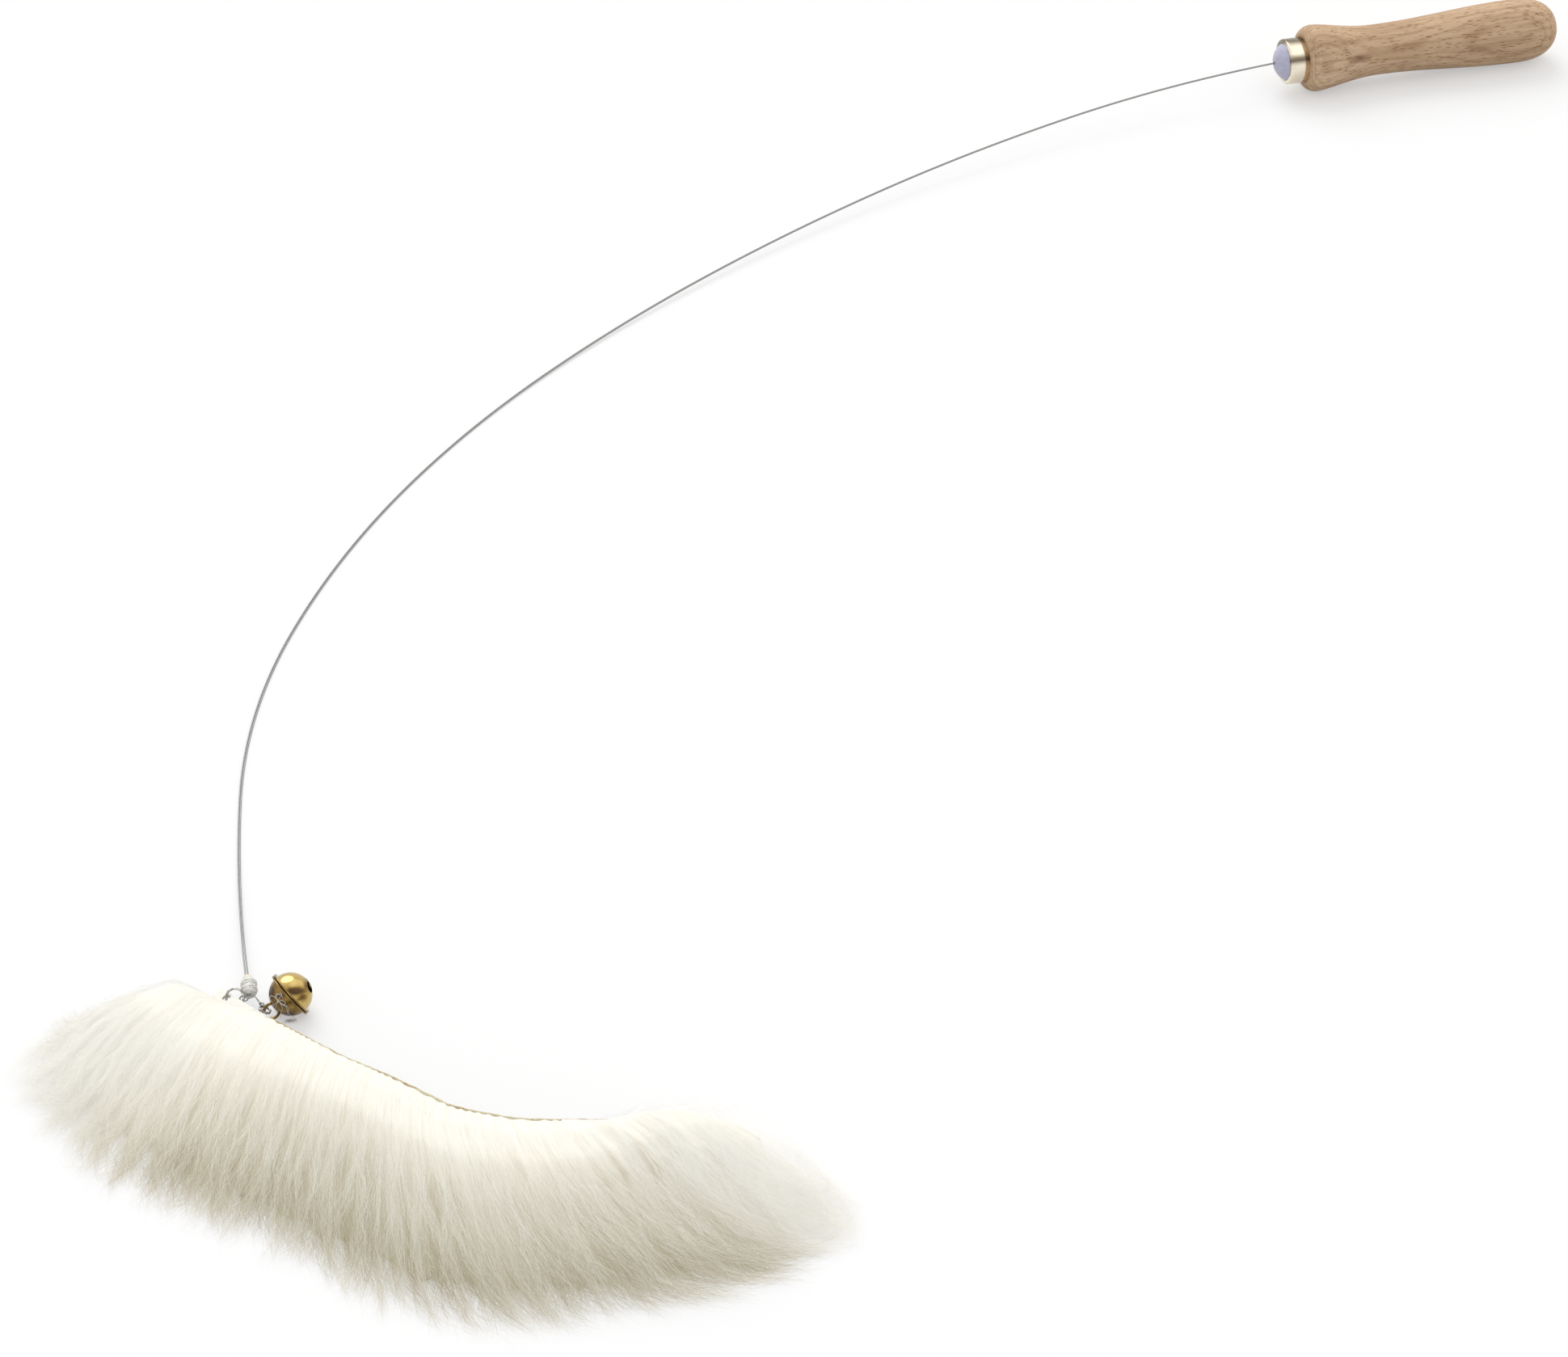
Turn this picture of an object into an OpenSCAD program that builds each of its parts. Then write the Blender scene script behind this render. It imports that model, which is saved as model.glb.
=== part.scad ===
// Cat teaser wand: a turned wooden grip, a long doubled spring wire, a fur lure and a jingle bell.
// Millimetres. It lies on a floor at z = 0 with the grip toward +X +Y and the fur toward -X -Y.

/* [Grip] */
// length of the wooden grip, measured from the ferrule's rim
grip_len = 123; // [119:0.5:127]
// radius of the flare behind the ferrule
flare_r = 14; // [13:0.1:15]
// place of the flare behind the rim
flare_at = 13.5; // [12.5:0.1:15]
// radius at the waist
waist_r = 10.6; // [10:0.1:11.5]
// place of the waist behind the rim
waist_at = 42; // [36:0.5:48]
// radius of the rounded butt
butt_r = 13.4; // [12.8:0.1:13.9]
// place where the butt starts to round off
butt_at = 104; // [98:0.5:108]
// roundness of the butt's end, 2 is a half ball
butt_power = 2.5; // [2:0.1:3.5]
// radius of the wood at its front shoulder
shoulder_r = 9.9; // [9.6:0.05:10.4]
// radius of the bore for the plug's stem
grip_bore_r = 4; // [3.8:0.05:4.4]
// depth of that bore behind the rim
grip_bore_deep = 38; // [34:0.5:44]
// heading of the grip's axis on the floor, toward its butt, in degrees
grip_heading = 16; // [10:0.5:22]

/* [Ferrule and plug] */
// outer radius of the metal ferrule
ferrule_r = 9.55; // [9.4:0.05:9.7]
// wall of the ferrule
ferrule_wall = 0.7; // [0.6:0.05:0.9]
// length of the ferrule
ferrule_len = 8.3; // [7.5:0.1:9]
// radius of the hole in its turned-in lip
lip_r = 7.75; // [7.5:0.05:8]
// thickness of that lip
lip_thick = 0.9; // [0.7:0.05:1.1]
// rounding of the ferrule's front edge
ferrule_round = 0.8; // [0.5:0.05:0.85]
// how far the plastic plug's dome stands out of the lip
dome_rise = 4.2; // [3.6:0.1:4.8]
// thickness of the plug's flange behind the lip
flange_thick = 1.1; // [0.9:0.05:1.3]
// radius of the plug's stem between its barbs
stem_r = 3.4; // [3:0.05:3.6]
// length of one barb on the stem
barb_len = 3; // [2.5:0.1:3.6]
// end of the stem behind the rim
stem_end = 22; // [20:0.5:24]
// outer radius of the brass crimp on the wire's ends
crimp_r = 1.6; // [1.4:0.05:2]
// length of the crimp
crimp_len = 8; // [6:0.5:10]

/* [Spring wire] */
// place where the wire leaves the plug: toward the right
exit_x = 159; // [150:1:168]
// place where the wire leaves the plug: toward the back
exit_y = 341; // [332:1:350]
// radius of the single spring wire, which is doubled back on itself
wire_r = 0.25; // [0.23:0.01:0.28]
// half of the spacing of the two legs along the rod
leg_half = 0.29; // [0.285:0.005:0.33]
// half of that spacing at the tip
leg_half_tip = 0.39; // [0.36:0.01:0.42]
// free length from the plug's dome to the tip
wire_len = 754; // [700:2:800]
// turn of the wire over the first eighth of its length, in degrees
turn_1 = 13.5; // [5:0.5:20]
// turn over the second eighth
turn_2 = 8.5; // [4:0.5:16]
// turn over the third eighth
turn_3 = 7; // [4:0.5:16]
// turn over the fourth eighth
turn_4 = 8; // [4:0.5:16]
// turn over the fifth eighth
turn_5 = 11; // [5:0.5:16]
// turn over the sixth eighth
turn_6 = 12; // [5:0.5:18]
// turn over the seventh eighth
turn_7 = 18; // [10:0.5:24]
// turn over the last eighth
turn_8 = 6.3; // [2:0.1:10]
// height of the wire's centre where it lies on the floor
wire_rest_z = 0.32; // [0.3:0.01:0.4]
// length over which it comes down from the grip
fall_len = 440; // [380:10:500]
// length over which it rises again to the tip
lift_len = 90; // [70:5:120]
// height of the wire at the tip
tip_z = 3; // [2.9:0.05:3.3]
// length over which the legs part before the tip
part_len = 25; // [20:1:30]
// radius of the eye that the bend of the wire makes, at the wire's centre
eye_r = 1.3; // [1.25:0.05:1.4]
// offset of the eye's centre to the side
eye_side = 1.8; // [1.75:0.05:1.9]
// distance of the eye's centre past the wire's nominal tip
eye_along = 10.1; // [10:0.05:10.3]

/* [Tip binding] */
// radius of the glue bead above the binding
bead_r = 1.4; // [1.2:0.05:1.45]
// place of the bead past the nominal tip
bead_at = 0.55; // [0.4:0.05:0.6]
// start of the bound core
core_from = 2; // [1.98:0.01:2.1]
// end of the bound core
core_to = 8.4; // [8.3:0.05:8.42]
// radius of the core in its middle
core_mid_r = 2.15; // [2:0.05:2.2]
// radius of the core at its ends
core_end_r = 1.5; // [1.4:0.05:1.6]
// shift of the binding to the side, off the legs' middle
bind_side = 0.2; // [0:0.05:0.25]
// radius of the binding thread
thread_r = 0.35; // [0.3:0.01:0.36]
// number of turns of thread round the core
thread_turns = 5; // [4:1:5]
// radius of the cord that ties the bell's ring to the binding
tie_r = 0.28; // [0.24:0.01:0.3]
// radius of that cord's end loop, at the cord's centre
tie_loop_r = 1.06; // [1.02:0.01:1.1]
// start of that cord: sideways
tie_side = 1.35; // [1.25:0.01:1.45]
// start of that cord: past the nominal tip
tie_along = 8.78; // [8.75:0.01:8.9]

/* [Fur ring and hide] */
// radius of the steel ring's wire
fur_ring_wire_r = 0.4; // [0.36:0.01:0.42]
// radius of the steel ring at its wire's centre
fur_ring_r = 2.75; // [2.7:0.05:2.8]
// height of the steel ring's centre
fur_ring_z = 3.5; // [3.4:0.05:3.6]
// lean of the ring back from upright, in degrees
fur_ring_lean = 40; // [35:1:45]
// angle left open at the ring's joint, in degrees
ring_split = 3; // [2:0.5:6]
// length of the hide's top edge, from the corner by the ring
hide_len = 162.7; // [155:0.1:170]
// height of the hide's top edge where it stands highest
hide_high = 21; // [20:0.1:22]
// thickness of the hide
hide_thick = 1.1; // [0.9:0.05:1.2]
// width of the hide strip
hide_w = 26; // [22:0.5:28]
// width of the hide strip at its left end
hide_end_w = 16; // [14:0.5:18]
// radius of the hole for the steel ring
hide_hole_r = 1.3; // [1.2:0.05:1.35]
// height of the front face at the hide's lower edge
hide_low_z = 1.6; // [1.5:0.05:1.8]
// hide past the corner by the ring, to the left
hide_extra = 3.2; // [3:0.1:4]
// corner of the hide's top edge: sideways from the ring's hole
corner_side = 1.15; // [1.05:0.05:1.3]
// corner of the hide's top edge: back from the ring's hole
corner_back = 2; // [1.9:0.05:2.2]

/* [Fur pile] */
// reach of the longest rows of fur
fur_reach = 77; // [72:0.5:80]
// height of the fur's crown where it stands highest
fur_high = 29; // [27:0.5:31]
// gap between the hide's face and the solid that stands for the fur
pile_gap = 0.35; // [0.3:0.05:0.5]
// bare hide kept free round the ring
pile_bare = 6; // [5.5:0.1:7]
// edge length over which the bare part fades
bare_fade = 17; // [12:1:24]
// bare hide along the rest of the edge
edge_bare = 0.35; // [0.3:0.05:0.6]
// depth of the locks as a share of the fur's reach
lock_share = 0.035; // [0:0.005:0.05]

/* [Bell] */
// outer radius of the bell's shell
bell_r = 6.85; // [6.6:0.05:7]
// wall of the shell
bell_wall = 0.45; // [0.4:0.05:0.5]
// radius of the seam's rim
rim_r = 7.95; // [7.7:0.05:8]
// thickness of the rim of one half
rim_thick = 0.3; // [0.25:0.05:0.35]
// width of the slot in the lower half
slot_w = 1.2; // [1:0.1:1.4]
// radius of the round holes at the slot's ends
slot_hole_r = 1.7; // [1.4:0.1:1.8]
// angle of those holes from the pole, in degrees
slot_angle = 24; // [22:1:30]
// turn of the slot about the bell's axis, in degrees
slot_turn = -78; // [-90:1:-60]
// radius of the loose pellet
pellet_r = 2.1; // [1.9:0.05:2.3]
// radius of the brass loop at its wire's centre
loop_r = 2.3; // [2.2:0.05:2.4]
// radius of the loop's wire
loop_wire_r = 0.45; // [0.4:0.01:0.5]
// distance of the loop's centre from the bell's centre
loop_off = 7.9; // [7.8:0.05:8]
// height of the bell's centre
bell_z = 7; // [6.96:0.01:7.1]
// bell's centre: sideways from the nominal tip
bell_side = 12.66; // [12.5:0.02:12.8]
// bell's centre: past the nominal tip
bell_along = 15.37; // [15.2:0.01:15.5]
// heading of the bell's axis from the sideways line, in degrees
bell_heading = 19.3; // [17:0.1:21]
// rise of the bell's axis, in degrees
bell_rise = 31.2; // [31:0.1:33]

/* [Bell ring] */
// radius of the split ring at its wire's centre
split_ring_r = 1.85; // [1.8:0.01:1.9]
// radius of one of its two coils
split_coil_r = 0.24; // [0.2:0.01:0.25]
// centre of the split ring: sideways
split_side = 4.2; // [4.15:0.01:4.25]
// centre of the split ring: past the nominal tip
split_along = 16.78; // [16.7:0.01:16.85]
// height of its centre
split_z = 3.05; // [3:0.01:3.15]
// roll of the ring about the cord's line, in degrees
split_roll = -25; // [-32:1:-18]

/* [Hidden] */
$fn = 48;
fit = 0.02;
slide = 0.06;
over = 1;

// the grip's axis dips toward the butt until flare and butt both touch the floor
grip_dip = asin((flare_r - butt_r) / (butt_at - flare_at));
exit_z = flare_r * cos(grip_dip) + (flare_at + dome_rise) * sin(grip_dip) + fit;
ferrule_in_r = ferrule_r - ferrule_wall;
tenon_r = ferrule_in_r - fit;
tenon_at = lip_thick + flange_thick;
wire_bore_r = leg_half + wire_r + slide;

// share of the flare's rise over the shoulder, a quarter of an ellipse
function rise_share(x) = sqrt(max(0, 1 - (1 - x) * (1 - x)));
// share of a smooth change between two radii
function blend_share(x) = (1 - cos(180 * x)) / 2;
function round_share(x) = pow(max(0, 1 - pow(x, butt_power)), 1 / butt_power);
rise_steps = 9;
blend_steps = 14;
round_steps = 13;
waist_skew = 0.75;
flare_pts = [for (i = [0:rise_steps]) let (x = i / rise_steps)
    [shoulder_r + (flare_r - shoulder_r) * rise_share(x),
     ferrule_len + fit + (flare_at - ferrule_len - fit) * x]];
waist_pts = [for (i = [1:blend_steps]) let (x = i / blend_steps)
    [flare_r + (waist_r - flare_r) * blend_share(pow(x, waist_skew)),
     flare_at + (waist_at - flare_at) * x]];
swell_pts = [for (i = [1:blend_steps]) let (x = i / blend_steps)
    [waist_r + (butt_r - waist_r) * blend_share(x), waist_at + (butt_at - waist_at) * x]];
butt_pts = [for (i = [1:round_steps]) let (x = sin(90 * i / round_steps))
    [butt_r * round_share(x), butt_at + (grip_len - butt_at) * x]];
grip_profile = concat([[0, tenon_at + fit], [tenon_r, tenon_at + fit], [tenon_r, ferrule_len + fit]],
    flare_pts, waist_pts, swell_pts, butt_pts);

// the wire's course: its heading grows evenly within each eighth of its length
turns = [turn_1, turn_2, turn_3, turn_4, turn_5, turn_6, turn_7, turn_8];
start_heading = grip_heading + 180;
leg_steps = 32;
part_count = len(turns);
step_len = wire_len / leg_steps;
function sum_to(v, n) = n <= 0 ? 0 : v[n - 1] + sum_to(v, n - 1);
function heading_at(x) = let (p = min(part_count - 0.0001, x * part_count), k = floor(p))
    start_heading + sum_to(turns, k) + turns[k] * (p - k);
function fall_share(s) = pow(max(0, 1 - s / fall_len), 2);
function lift_share(s) = pow(max(0, (s - wire_len + lift_len) / lift_len), 2);
function height_at(s) = wire_rest_z + (exit_z - wire_rest_z) * fall_share(s)
    + (tip_z - wire_rest_z) * lift_share(s);
function course(i, p) = i > leg_steps ? [] :
    concat([[p[0], p[1], height_at(i * step_len)]],
        let (h = heading_at((i + 0.5) / leg_steps))
        course(i + 1, [p[0] + step_len * cos(h), p[1] + step_len * sin(h)]));
mid_line = course(0, [exit_x, exit_y]);
tip_heading = heading_at(1);
tip_x = mid_line[leg_steps][0];
tip_y = mid_line[leg_steps][1];
function half_at(s) = leg_half
    + (leg_half_tip - leg_half) * max(0, (s - wire_len + part_len) / part_len);
// one leg beside the mid line, side is 1 or -1
function leg_line(side) = [for (i = [0:leg_steps])
    let (h = i == 0 ? start_heading : i == leg_steps ? tip_heading : heading_at(i / leg_steps),
         w = side * half_at(i * step_len))
    mid_line[i] + [-w * sin(h), w * cos(h), 0]];
crimp_at = stem_end + fit;
tail_len = dome_rise + crimp_at + crimp_len / 2;
function leg_tail(side) = let (h = start_heading, w = side * leg_half)
    [exit_x - tail_len * cos(h) - w * sin(h), exit_y - tail_len * sin(h) + w * cos(h),
     exit_z - tail_len * sin(grip_dip)];
// a place at the tip: sideways, past the nominal tip, height
function tip_place(s, a, z) = [
    tip_x + s * cos(tip_heading + 90) + a * cos(tip_heading),
    tip_y + s * sin(tip_heading + 90) + a * sin(tip_heading), z];
// the eye: both legs run on to a round bend that lies to one side
bend_from = core_to + wire_r;
function tangent_angle(s, turn_way) = let (dx = -eye_side - s, dy = eye_along - bend_from)
    atan2(dy, dx) + turn_way * asin(eye_r / sqrt(dx * dx + dy * dy));
eye_first = tangent_angle(leg_half_tip, -1) - 90;
eye_last = tangent_angle(-leg_half_tip, 1) + 90;
eye_steps = 8;
corner_in = 0.12;
eye_line = concat(
    [tip_place(leg_half_tip, bend_from - wire_r, tip_z)],
    [for (i = [0:eye_steps]) let (g = eye_first + (eye_last - eye_first) * i / eye_steps)
        tip_place(-eye_side + eye_r * cos(g), eye_along + eye_r * sin(g), tip_z)],
    [tip_place(-leg_half_tip - corner_in, bend_from, tip_z),
     tip_place(-leg_half_tip, bend_from - corner_in, tip_z)]);
back_leg = leg_line(-1);
wire_path = concat([leg_tail(1)], leg_line(1), eye_line,
    [for (i = [leg_steps:-1:0]) back_leg[i]], [leg_tail(-1)]);

// a round tube through a list of points, as one closed solid
function unit(v) = v / norm(v);
function along_at(p, i) = unit(
    (i == 0 ? [0, 0, 0] : unit(p[i] - p[i - 1])) +
    (i == len(p) - 1 ? [0, 0, 0] : unit(p[i + 1] - p[i])));
function mitre_at(p, i) = i == 0 || i == len(p) - 1 ? 1 :
    1 / max(0.5, unit(p[i] - p[i - 1]) * along_at(p, i));
function tube_ring(p, i, r, sides) = let (t = along_at(p, i),
    n = unit(cross([0, 0, 1], t)), b = cross(t, n), m = mitre_at(p, i))
    [for (k = [0:sides - 1]) let (g = 360 * (k + 0.5) / sides)
        p[i] + r * (cos(g) * m * n + sin(g) * b)];
module tube(p, r, sides) {
    count = len(p);
    pts = [for (i = [0:count - 1]) each tube_ring(p, i, r, sides)];
    walls = [for (i = [0:count - 2], k = [0:sides - 1]) let (a = i * sides, q = (k + 1) % sides)
        each [[a + k, a + sides + q, a + q], [a + k, a + sides + k, a + sides + q]]];
    cap_a = [for (k = [0:sides - 1]) k];
    cap_b = [for (k = [0:sides - 1]) count * sides - 1 - k];
    polyhedron(pts, concat(walls, [cap_a, cap_b]), convexity = 10);
}

// the binding thread climbs the core, its spacing to itself is echoed
core_len = core_to - core_from;
thread_pitch = (core_len - 2 * thread_r) / (thread_turns + 0.2);
thread_sides = 6;
turn_steps = 24;
thread_steps = turn_steps * thread_turns;
bulge_share = 0.5;
function core_r_at(x) = core_end_r + (core_mid_r - core_end_r) * pow(sin(180 * x), bulge_share);
thread_off = thread_r + slide;
function thread_at(i) = let (a = 2 * thread_r * 0.6 + thread_pitch * i / turn_steps + thread_r * 0.2,
    r = core_r_at(min(1, max(0, a / core_len))) + thread_off, g = 360 * i / turn_steps)
    [r * cos(g), r * sin(g), a];
function thread_ring(i) = let (t = unit(thread_at(i + 0.05) - thread_at(i - 0.05)),
    n = unit([cos(360 * i / turn_steps), sin(360 * i / turn_steps), 0]),
    b = unit(cross(t, n)), o = cross(b, t))
    [for (k = [0:thread_sides - 1]) let (g = 360 * k / thread_sides)
        thread_at(i) + thread_r * (cos(g) * b + sin(g) * o)];
echo(thread_gap = thread_pitch - 2 * thread_r);

// the hide: its top edge runs from the corner by the ring, then each entry is a share of
// the length, the heading, and the height reached as a share of the highest
edge_from_z = 3.9;
edge_table = [[0.085, -46.6, 0.29], [0.087, -46.7, 0.43], [0.175, -46.7, 0.71], [0.149, -39.9, 0.9],
    [0.143, -39.5, 1], [0.125, -15.3, 1], [0.147, 1.8, 0.95], [0.089, 8.7, 0.86]];
edge_count = len(edge_table);
// the ring crosses the eye's level at this angle on its circle, and the hide at the other
eye_turn = asin((tip_z - fur_ring_z) / (fur_ring_r * cos(fur_ring_lean)));
ring_at_side = eye_side + fur_ring_r * cos(eye_turn);
ring_at_along = eye_along + fur_ring_r * sin(eye_turn) * sin(fur_ring_lean);
hole_turn = 184;
hole_side = -ring_at_side + fur_ring_r * cos(hole_turn);
hole_along = ring_at_along - fur_ring_r * sin(hole_turn) * sin(fur_ring_lean);
hole_place = tip_place(hole_side, hole_along, 0);
corner = tip_place(hole_side + corner_side, hole_along - corner_back, edge_from_z);
extra_heading = edge_table[0][1];
function edge_knots(i, p) = i >= edge_count ? [p] : let (e = edge_table[i])
    concat([p], edge_knots(i + 1, [p[0] + e[0] * hide_len * cos(e[1]), p[1] + e[0] * hide_len * sin(e[1]),
        e[2] * hide_high]));
knots = concat([corner - [hide_extra * cos(extra_heading), hide_extra * sin(extra_heading), 0]],
    edge_knots(0, corner));
function run_at(i) = i <= 0 ? 0 : norm([knots[i][0] - knots[i - 1][0], knots[i][1] - knots[i - 1][1]])
    + run_at(i - 1);
runs = [for (i = [0:len(knots) - 1]) run_at(i)];
edge_len = runs[len(runs) - 1];
function knot_of(s, i) = i >= len(runs) - 2 || s < runs[i + 1] ? i : knot_of(s, i + 1);
function edge_raw(s) = let (i = knot_of(s, 0), x = (s - runs[i]) / (runs[i + 1] - runs[i]))
    knots[i] + (knots[i + 1] - knots[i]) * x;
// rounded by averaging over a short window
round_win = 5;
function edge_at(s) = let (w = min(round_win, s, edge_len - s))
    (edge_raw(s - w) + edge_raw(s + w) + 2 * edge_raw(s)
     + 2 * edge_raw(s - w / 2) + 2 * edge_raw(s + w / 2)) / 8;
probe = 1.5;
function edge_dir(s) = unit((edge_at(min(edge_len, s + probe)) - edge_at(max(0, s - probe))));
function width_at(s) = let (x = min(1, s / (hide_w - hide_end_w) / 2))
    hide_end_w + (hide_w - hide_end_w) * blend_share(x);
// across the strip: toward the front and down to the lower edge
function across_dir(s) = let (d = edge_dir(s), w = width_at(s), drop = (edge_at(s)[2] - hide_low_z) / w,
    f = unit([d[1], -d[0], 0])) sqrt(1 - drop * drop) * f - [0, 0, drop];
function face_out(s) = unit(cross(edge_dir(s), across_dir(s))) * -1;
function face_at(s, w) = edge_at(s) + across_dir(s) * w;
hide_rows = 40;
hide_cols = 4;
function hide_grid(off) = [for (i = [0:hide_rows], j = [0:hide_cols])
    let (s = edge_len * i / hide_rows) face_at(s, width_at(s) * j / hide_cols) + face_out(s) * off];
module sheet_solid(top, bottom, rows, cols) {
    n = (rows + 1) * (cols + 1);
    function at(i, j) = i * (cols + 1) + j;
    up = [for (i = [0:rows - 1], j = [0:cols - 1])
        each [[at(i, j), at(i, j + 1), at(i + 1, j + 1)], [at(i, j), at(i + 1, j + 1), at(i + 1, j)]]];
    down = [for (f = up) [f[2] + n, f[1] + n, f[0] + n]];
    side_j = [for (i = [0:rows - 1]) each [
        [at(i, 0), at(i + 1, 0), at(i + 1, 0) + n], [at(i, 0), at(i + 1, 0) + n, at(i, 0) + n],
        [at(i + 1, cols), at(i, cols), at(i, cols) + n],
        [at(i + 1, cols), at(i, cols) + n, at(i + 1, cols) + n]]];
    side_i = [for (j = [0:cols - 1]) each [
        [at(0, j + 1), at(0, j), at(0, j) + n], [at(0, j + 1), at(0, j) + n, at(0, j + 1) + n],
        [at(rows, j), at(rows, j + 1), at(rows, j + 1) + n],
        [at(rows, j), at(rows, j + 1) + n, at(rows, j) + n]]];
    polyhedron(concat(top, bottom), concat(up, down, side_j, side_i), convexity = 10);
}

// the fur: each entry is a place along the edge as a share, the heading at the root,
// the heading at the tip, and shares of the longest reach and of the highest crown
comb_table = [[-0.004, 190, 188, 0.55, 0.24], [0.006, 200, 203, 0.74, 0.5], [0.026, 213, 217, 0.86, 0.66],
    [0.05, 226, 230, 0.93, 0.69], [0.08, 243, 246, 1, 0.62], [0.165, 247, 250, 0.99, 0.66],
    [0.315, 259, 261, 0.92, 0.86], [0.455, 264, 265, 0.91, 0.97], [0.595, 268, 269, 0.9, 1],
    [0.8, 279, 278, 0.82, 0.98], [0.895, 294, 293, 0.8, 0.95], [0.94, 312, 309, 0.81, 0.9],
    [0.968, 330, 322, 0.84, 0.79], [0.988, 350, 329, 0.87, 0.59], [1.004, 384, 333, 0.81, 0.34]];
row_steps = 4;
row_count = (len(comb_table) - 1) * row_steps;
function row_at(i) = let (k = min(len(comb_table) - 2, floor(i / row_steps)), x = i / row_steps - k)
    let (r = comb_table[k] + (comb_table[k + 1] - comb_table[k]) * x)
    [r[0], r[1], r[2], r[3] * fur_reach, r[4] * fur_high];
// outline of a row: share of the reach, and of the way up to the crown or of the crown
climb_shares = [[0, 0], [0.09, 0.5], [0.2, 1]];
fall_shares = [[0.38, 0.97], [0.56, 0.78], [0.74, 0.5], [0.89, 0.22], [1, 0.05]];
inner_cols = 3;
bend_power = 4;
function comb_heading(r, x) = r[2] + (r[1] - r[2]) * pow(1 - x, bend_power);
comb_steps = 24;
function comb_step(r, k) = let (h = comb_heading(r, (k + 0.5) / comb_steps))
    [cos(h), sin(h), 0] * (r[3] / comb_steps);
function comb_run(r, x) = let (m = x * comb_steps, n = floor(m))
    (n <= 0 ? [0, 0, 0] : vec_sum([for (k = [0:n - 1]) comb_step(r, k)]))
    + (n >= comb_steps ? [0, 0, 0] : comb_step(r, n) * (m - n));
function vec_sum(v, i = 0) = i >= len(v) ? [0, 0, 0] : v[i] + vec_sum(v, i + 1);
function bare_at(s) = edge_bare + (pile_bare - edge_bare) * pow(max(0, 1 - s / bare_fade), 0.7);
function lock_at(i) = 1 + lock_share * sin(i * 97) + lock_share / 2 * sin(i * 211 + 40);
function flat(p) = [p[0], p[1], 0];
function pile_row(i) = let (r = row_at(i), s = r[0] * edge_len, w0 = bare_at(s), w1 = width_at(s),
    root = face_at(s, w0) + face_out(s) * pile_gap, rr = [r[0], r[1], r[2], r[3] * lock_at(i), r[4]],
    base = root[2] + pile_gap, w2 = w1 + 2 * pile_gap, foot = face_at(s, w2) + face_out(s) * pile_gap)
    concat(
        [for (c = climb_shares) flat(root) + comb_run(rr, c[0])
            + [0, 0, base + (r[4] - base) * c[1]]],
        [for (c = fall_shares) flat(root) + comb_run(rr, c[0]) + [0, 0, r[4] * c[1]]],
        [flat(root) + comb_run(rr, 1), flat(foot)],
        [for (j = [inner_cols:-1:1]) face_at(s, w0 + (w2 - w0) * j / inner_cols)
            + face_out(s) * pile_gap]);
pile_rows = [for (i = [0:row_count]) pile_row(i)];
pile_n = len(pile_rows[0]);
module loft(rows, n) {
    count = len(rows);
    walls = [for (i = [0:count - 2], k = [0:n - 1]) let (a = i * n, q = (k + 1) % n)
        each [[a + k, a + n + q, a + q], [a + k, a + n + k, a + n + q]]];
    cap_a = [for (k = [1:n - 2]) [0, k, k + 1]];
    cap_b = [for (k = [1:n - 2]) [(count - 1) * n, (count - 1) * n + k + 1, (count - 1) * n + k]];
    polyhedron([for (r = rows) each r], concat(walls, cap_a, cap_b), convexity = 10);
}

// frames
module at_grip() {
    translate([exit_x, exit_y, exit_z]) rotate([0, 90 + grip_dip, grip_heading])
        translate([0, 0, dome_rise]) children();
}
module at_tip() {
    translate([tip_x, tip_y, 0]) rotate([0, 0, tip_heading + 90]) children();
}
module along_binding(at, side = 0) {
    at_tip() translate([side, -at, tip_z]) rotate([90, 0, 0]) children();
}
bell_out = [cos(bell_rise) * cos(bell_heading), cos(bell_rise) * sin(bell_heading), sin(bell_rise)];
module at_bell() {
    at_tip() translate([bell_side, -bell_along, bell_z])
        rotate([0, 90 - bell_rise, bell_heading]) children();
}
tie_run = [split_side - tie_side, -(split_along - tie_along)];
tie_heading = atan2(tie_run[1], tie_run[0]);
tie_len = norm(tie_run) - split_ring_r - tie_loop_r;
module at_split() {
    at_tip() translate([split_side, -split_along, split_z])
        rotate([0, 0, tie_heading]) rotate([split_roll, 0, 0]) children();
}
module torus(r, wire) {
    rotate_extrude() translate([r, 0]) circle(r = wire);
}

// turned wood with a tenon for the ferrule and a bore for the plug's stem
module handle_grip() {
    color("burlywood") at_grip() difference() {
        rotate_extrude() polygon(grip_profile);
        translate([0, 0, -over]) cylinder(h = grip_bore_deep + over, r = grip_bore_r);
        translate([0, 0, grip_bore_deep - fit])
            cylinder(h = grip_bore_r / 2, r1 = grip_bore_r, r2 = 0);
    }
}

// metal cap with a turned-in lip
round_arc = [for (i = [0:6]) [ferrule_r - ferrule_round + ferrule_round * sin(15 * i),
    ferrule_round - ferrule_round * cos(15 * i)]];
module ferrule() {
    color("silver") at_grip() rotate_extrude() polygon(concat(
        [[lip_r, 0]], round_arc,
        [[ferrule_r, ferrule_len], [ferrule_in_r, ferrule_len], [ferrule_in_r, lip_thick],
         [lip_r, lip_thick]]));
}

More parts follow.
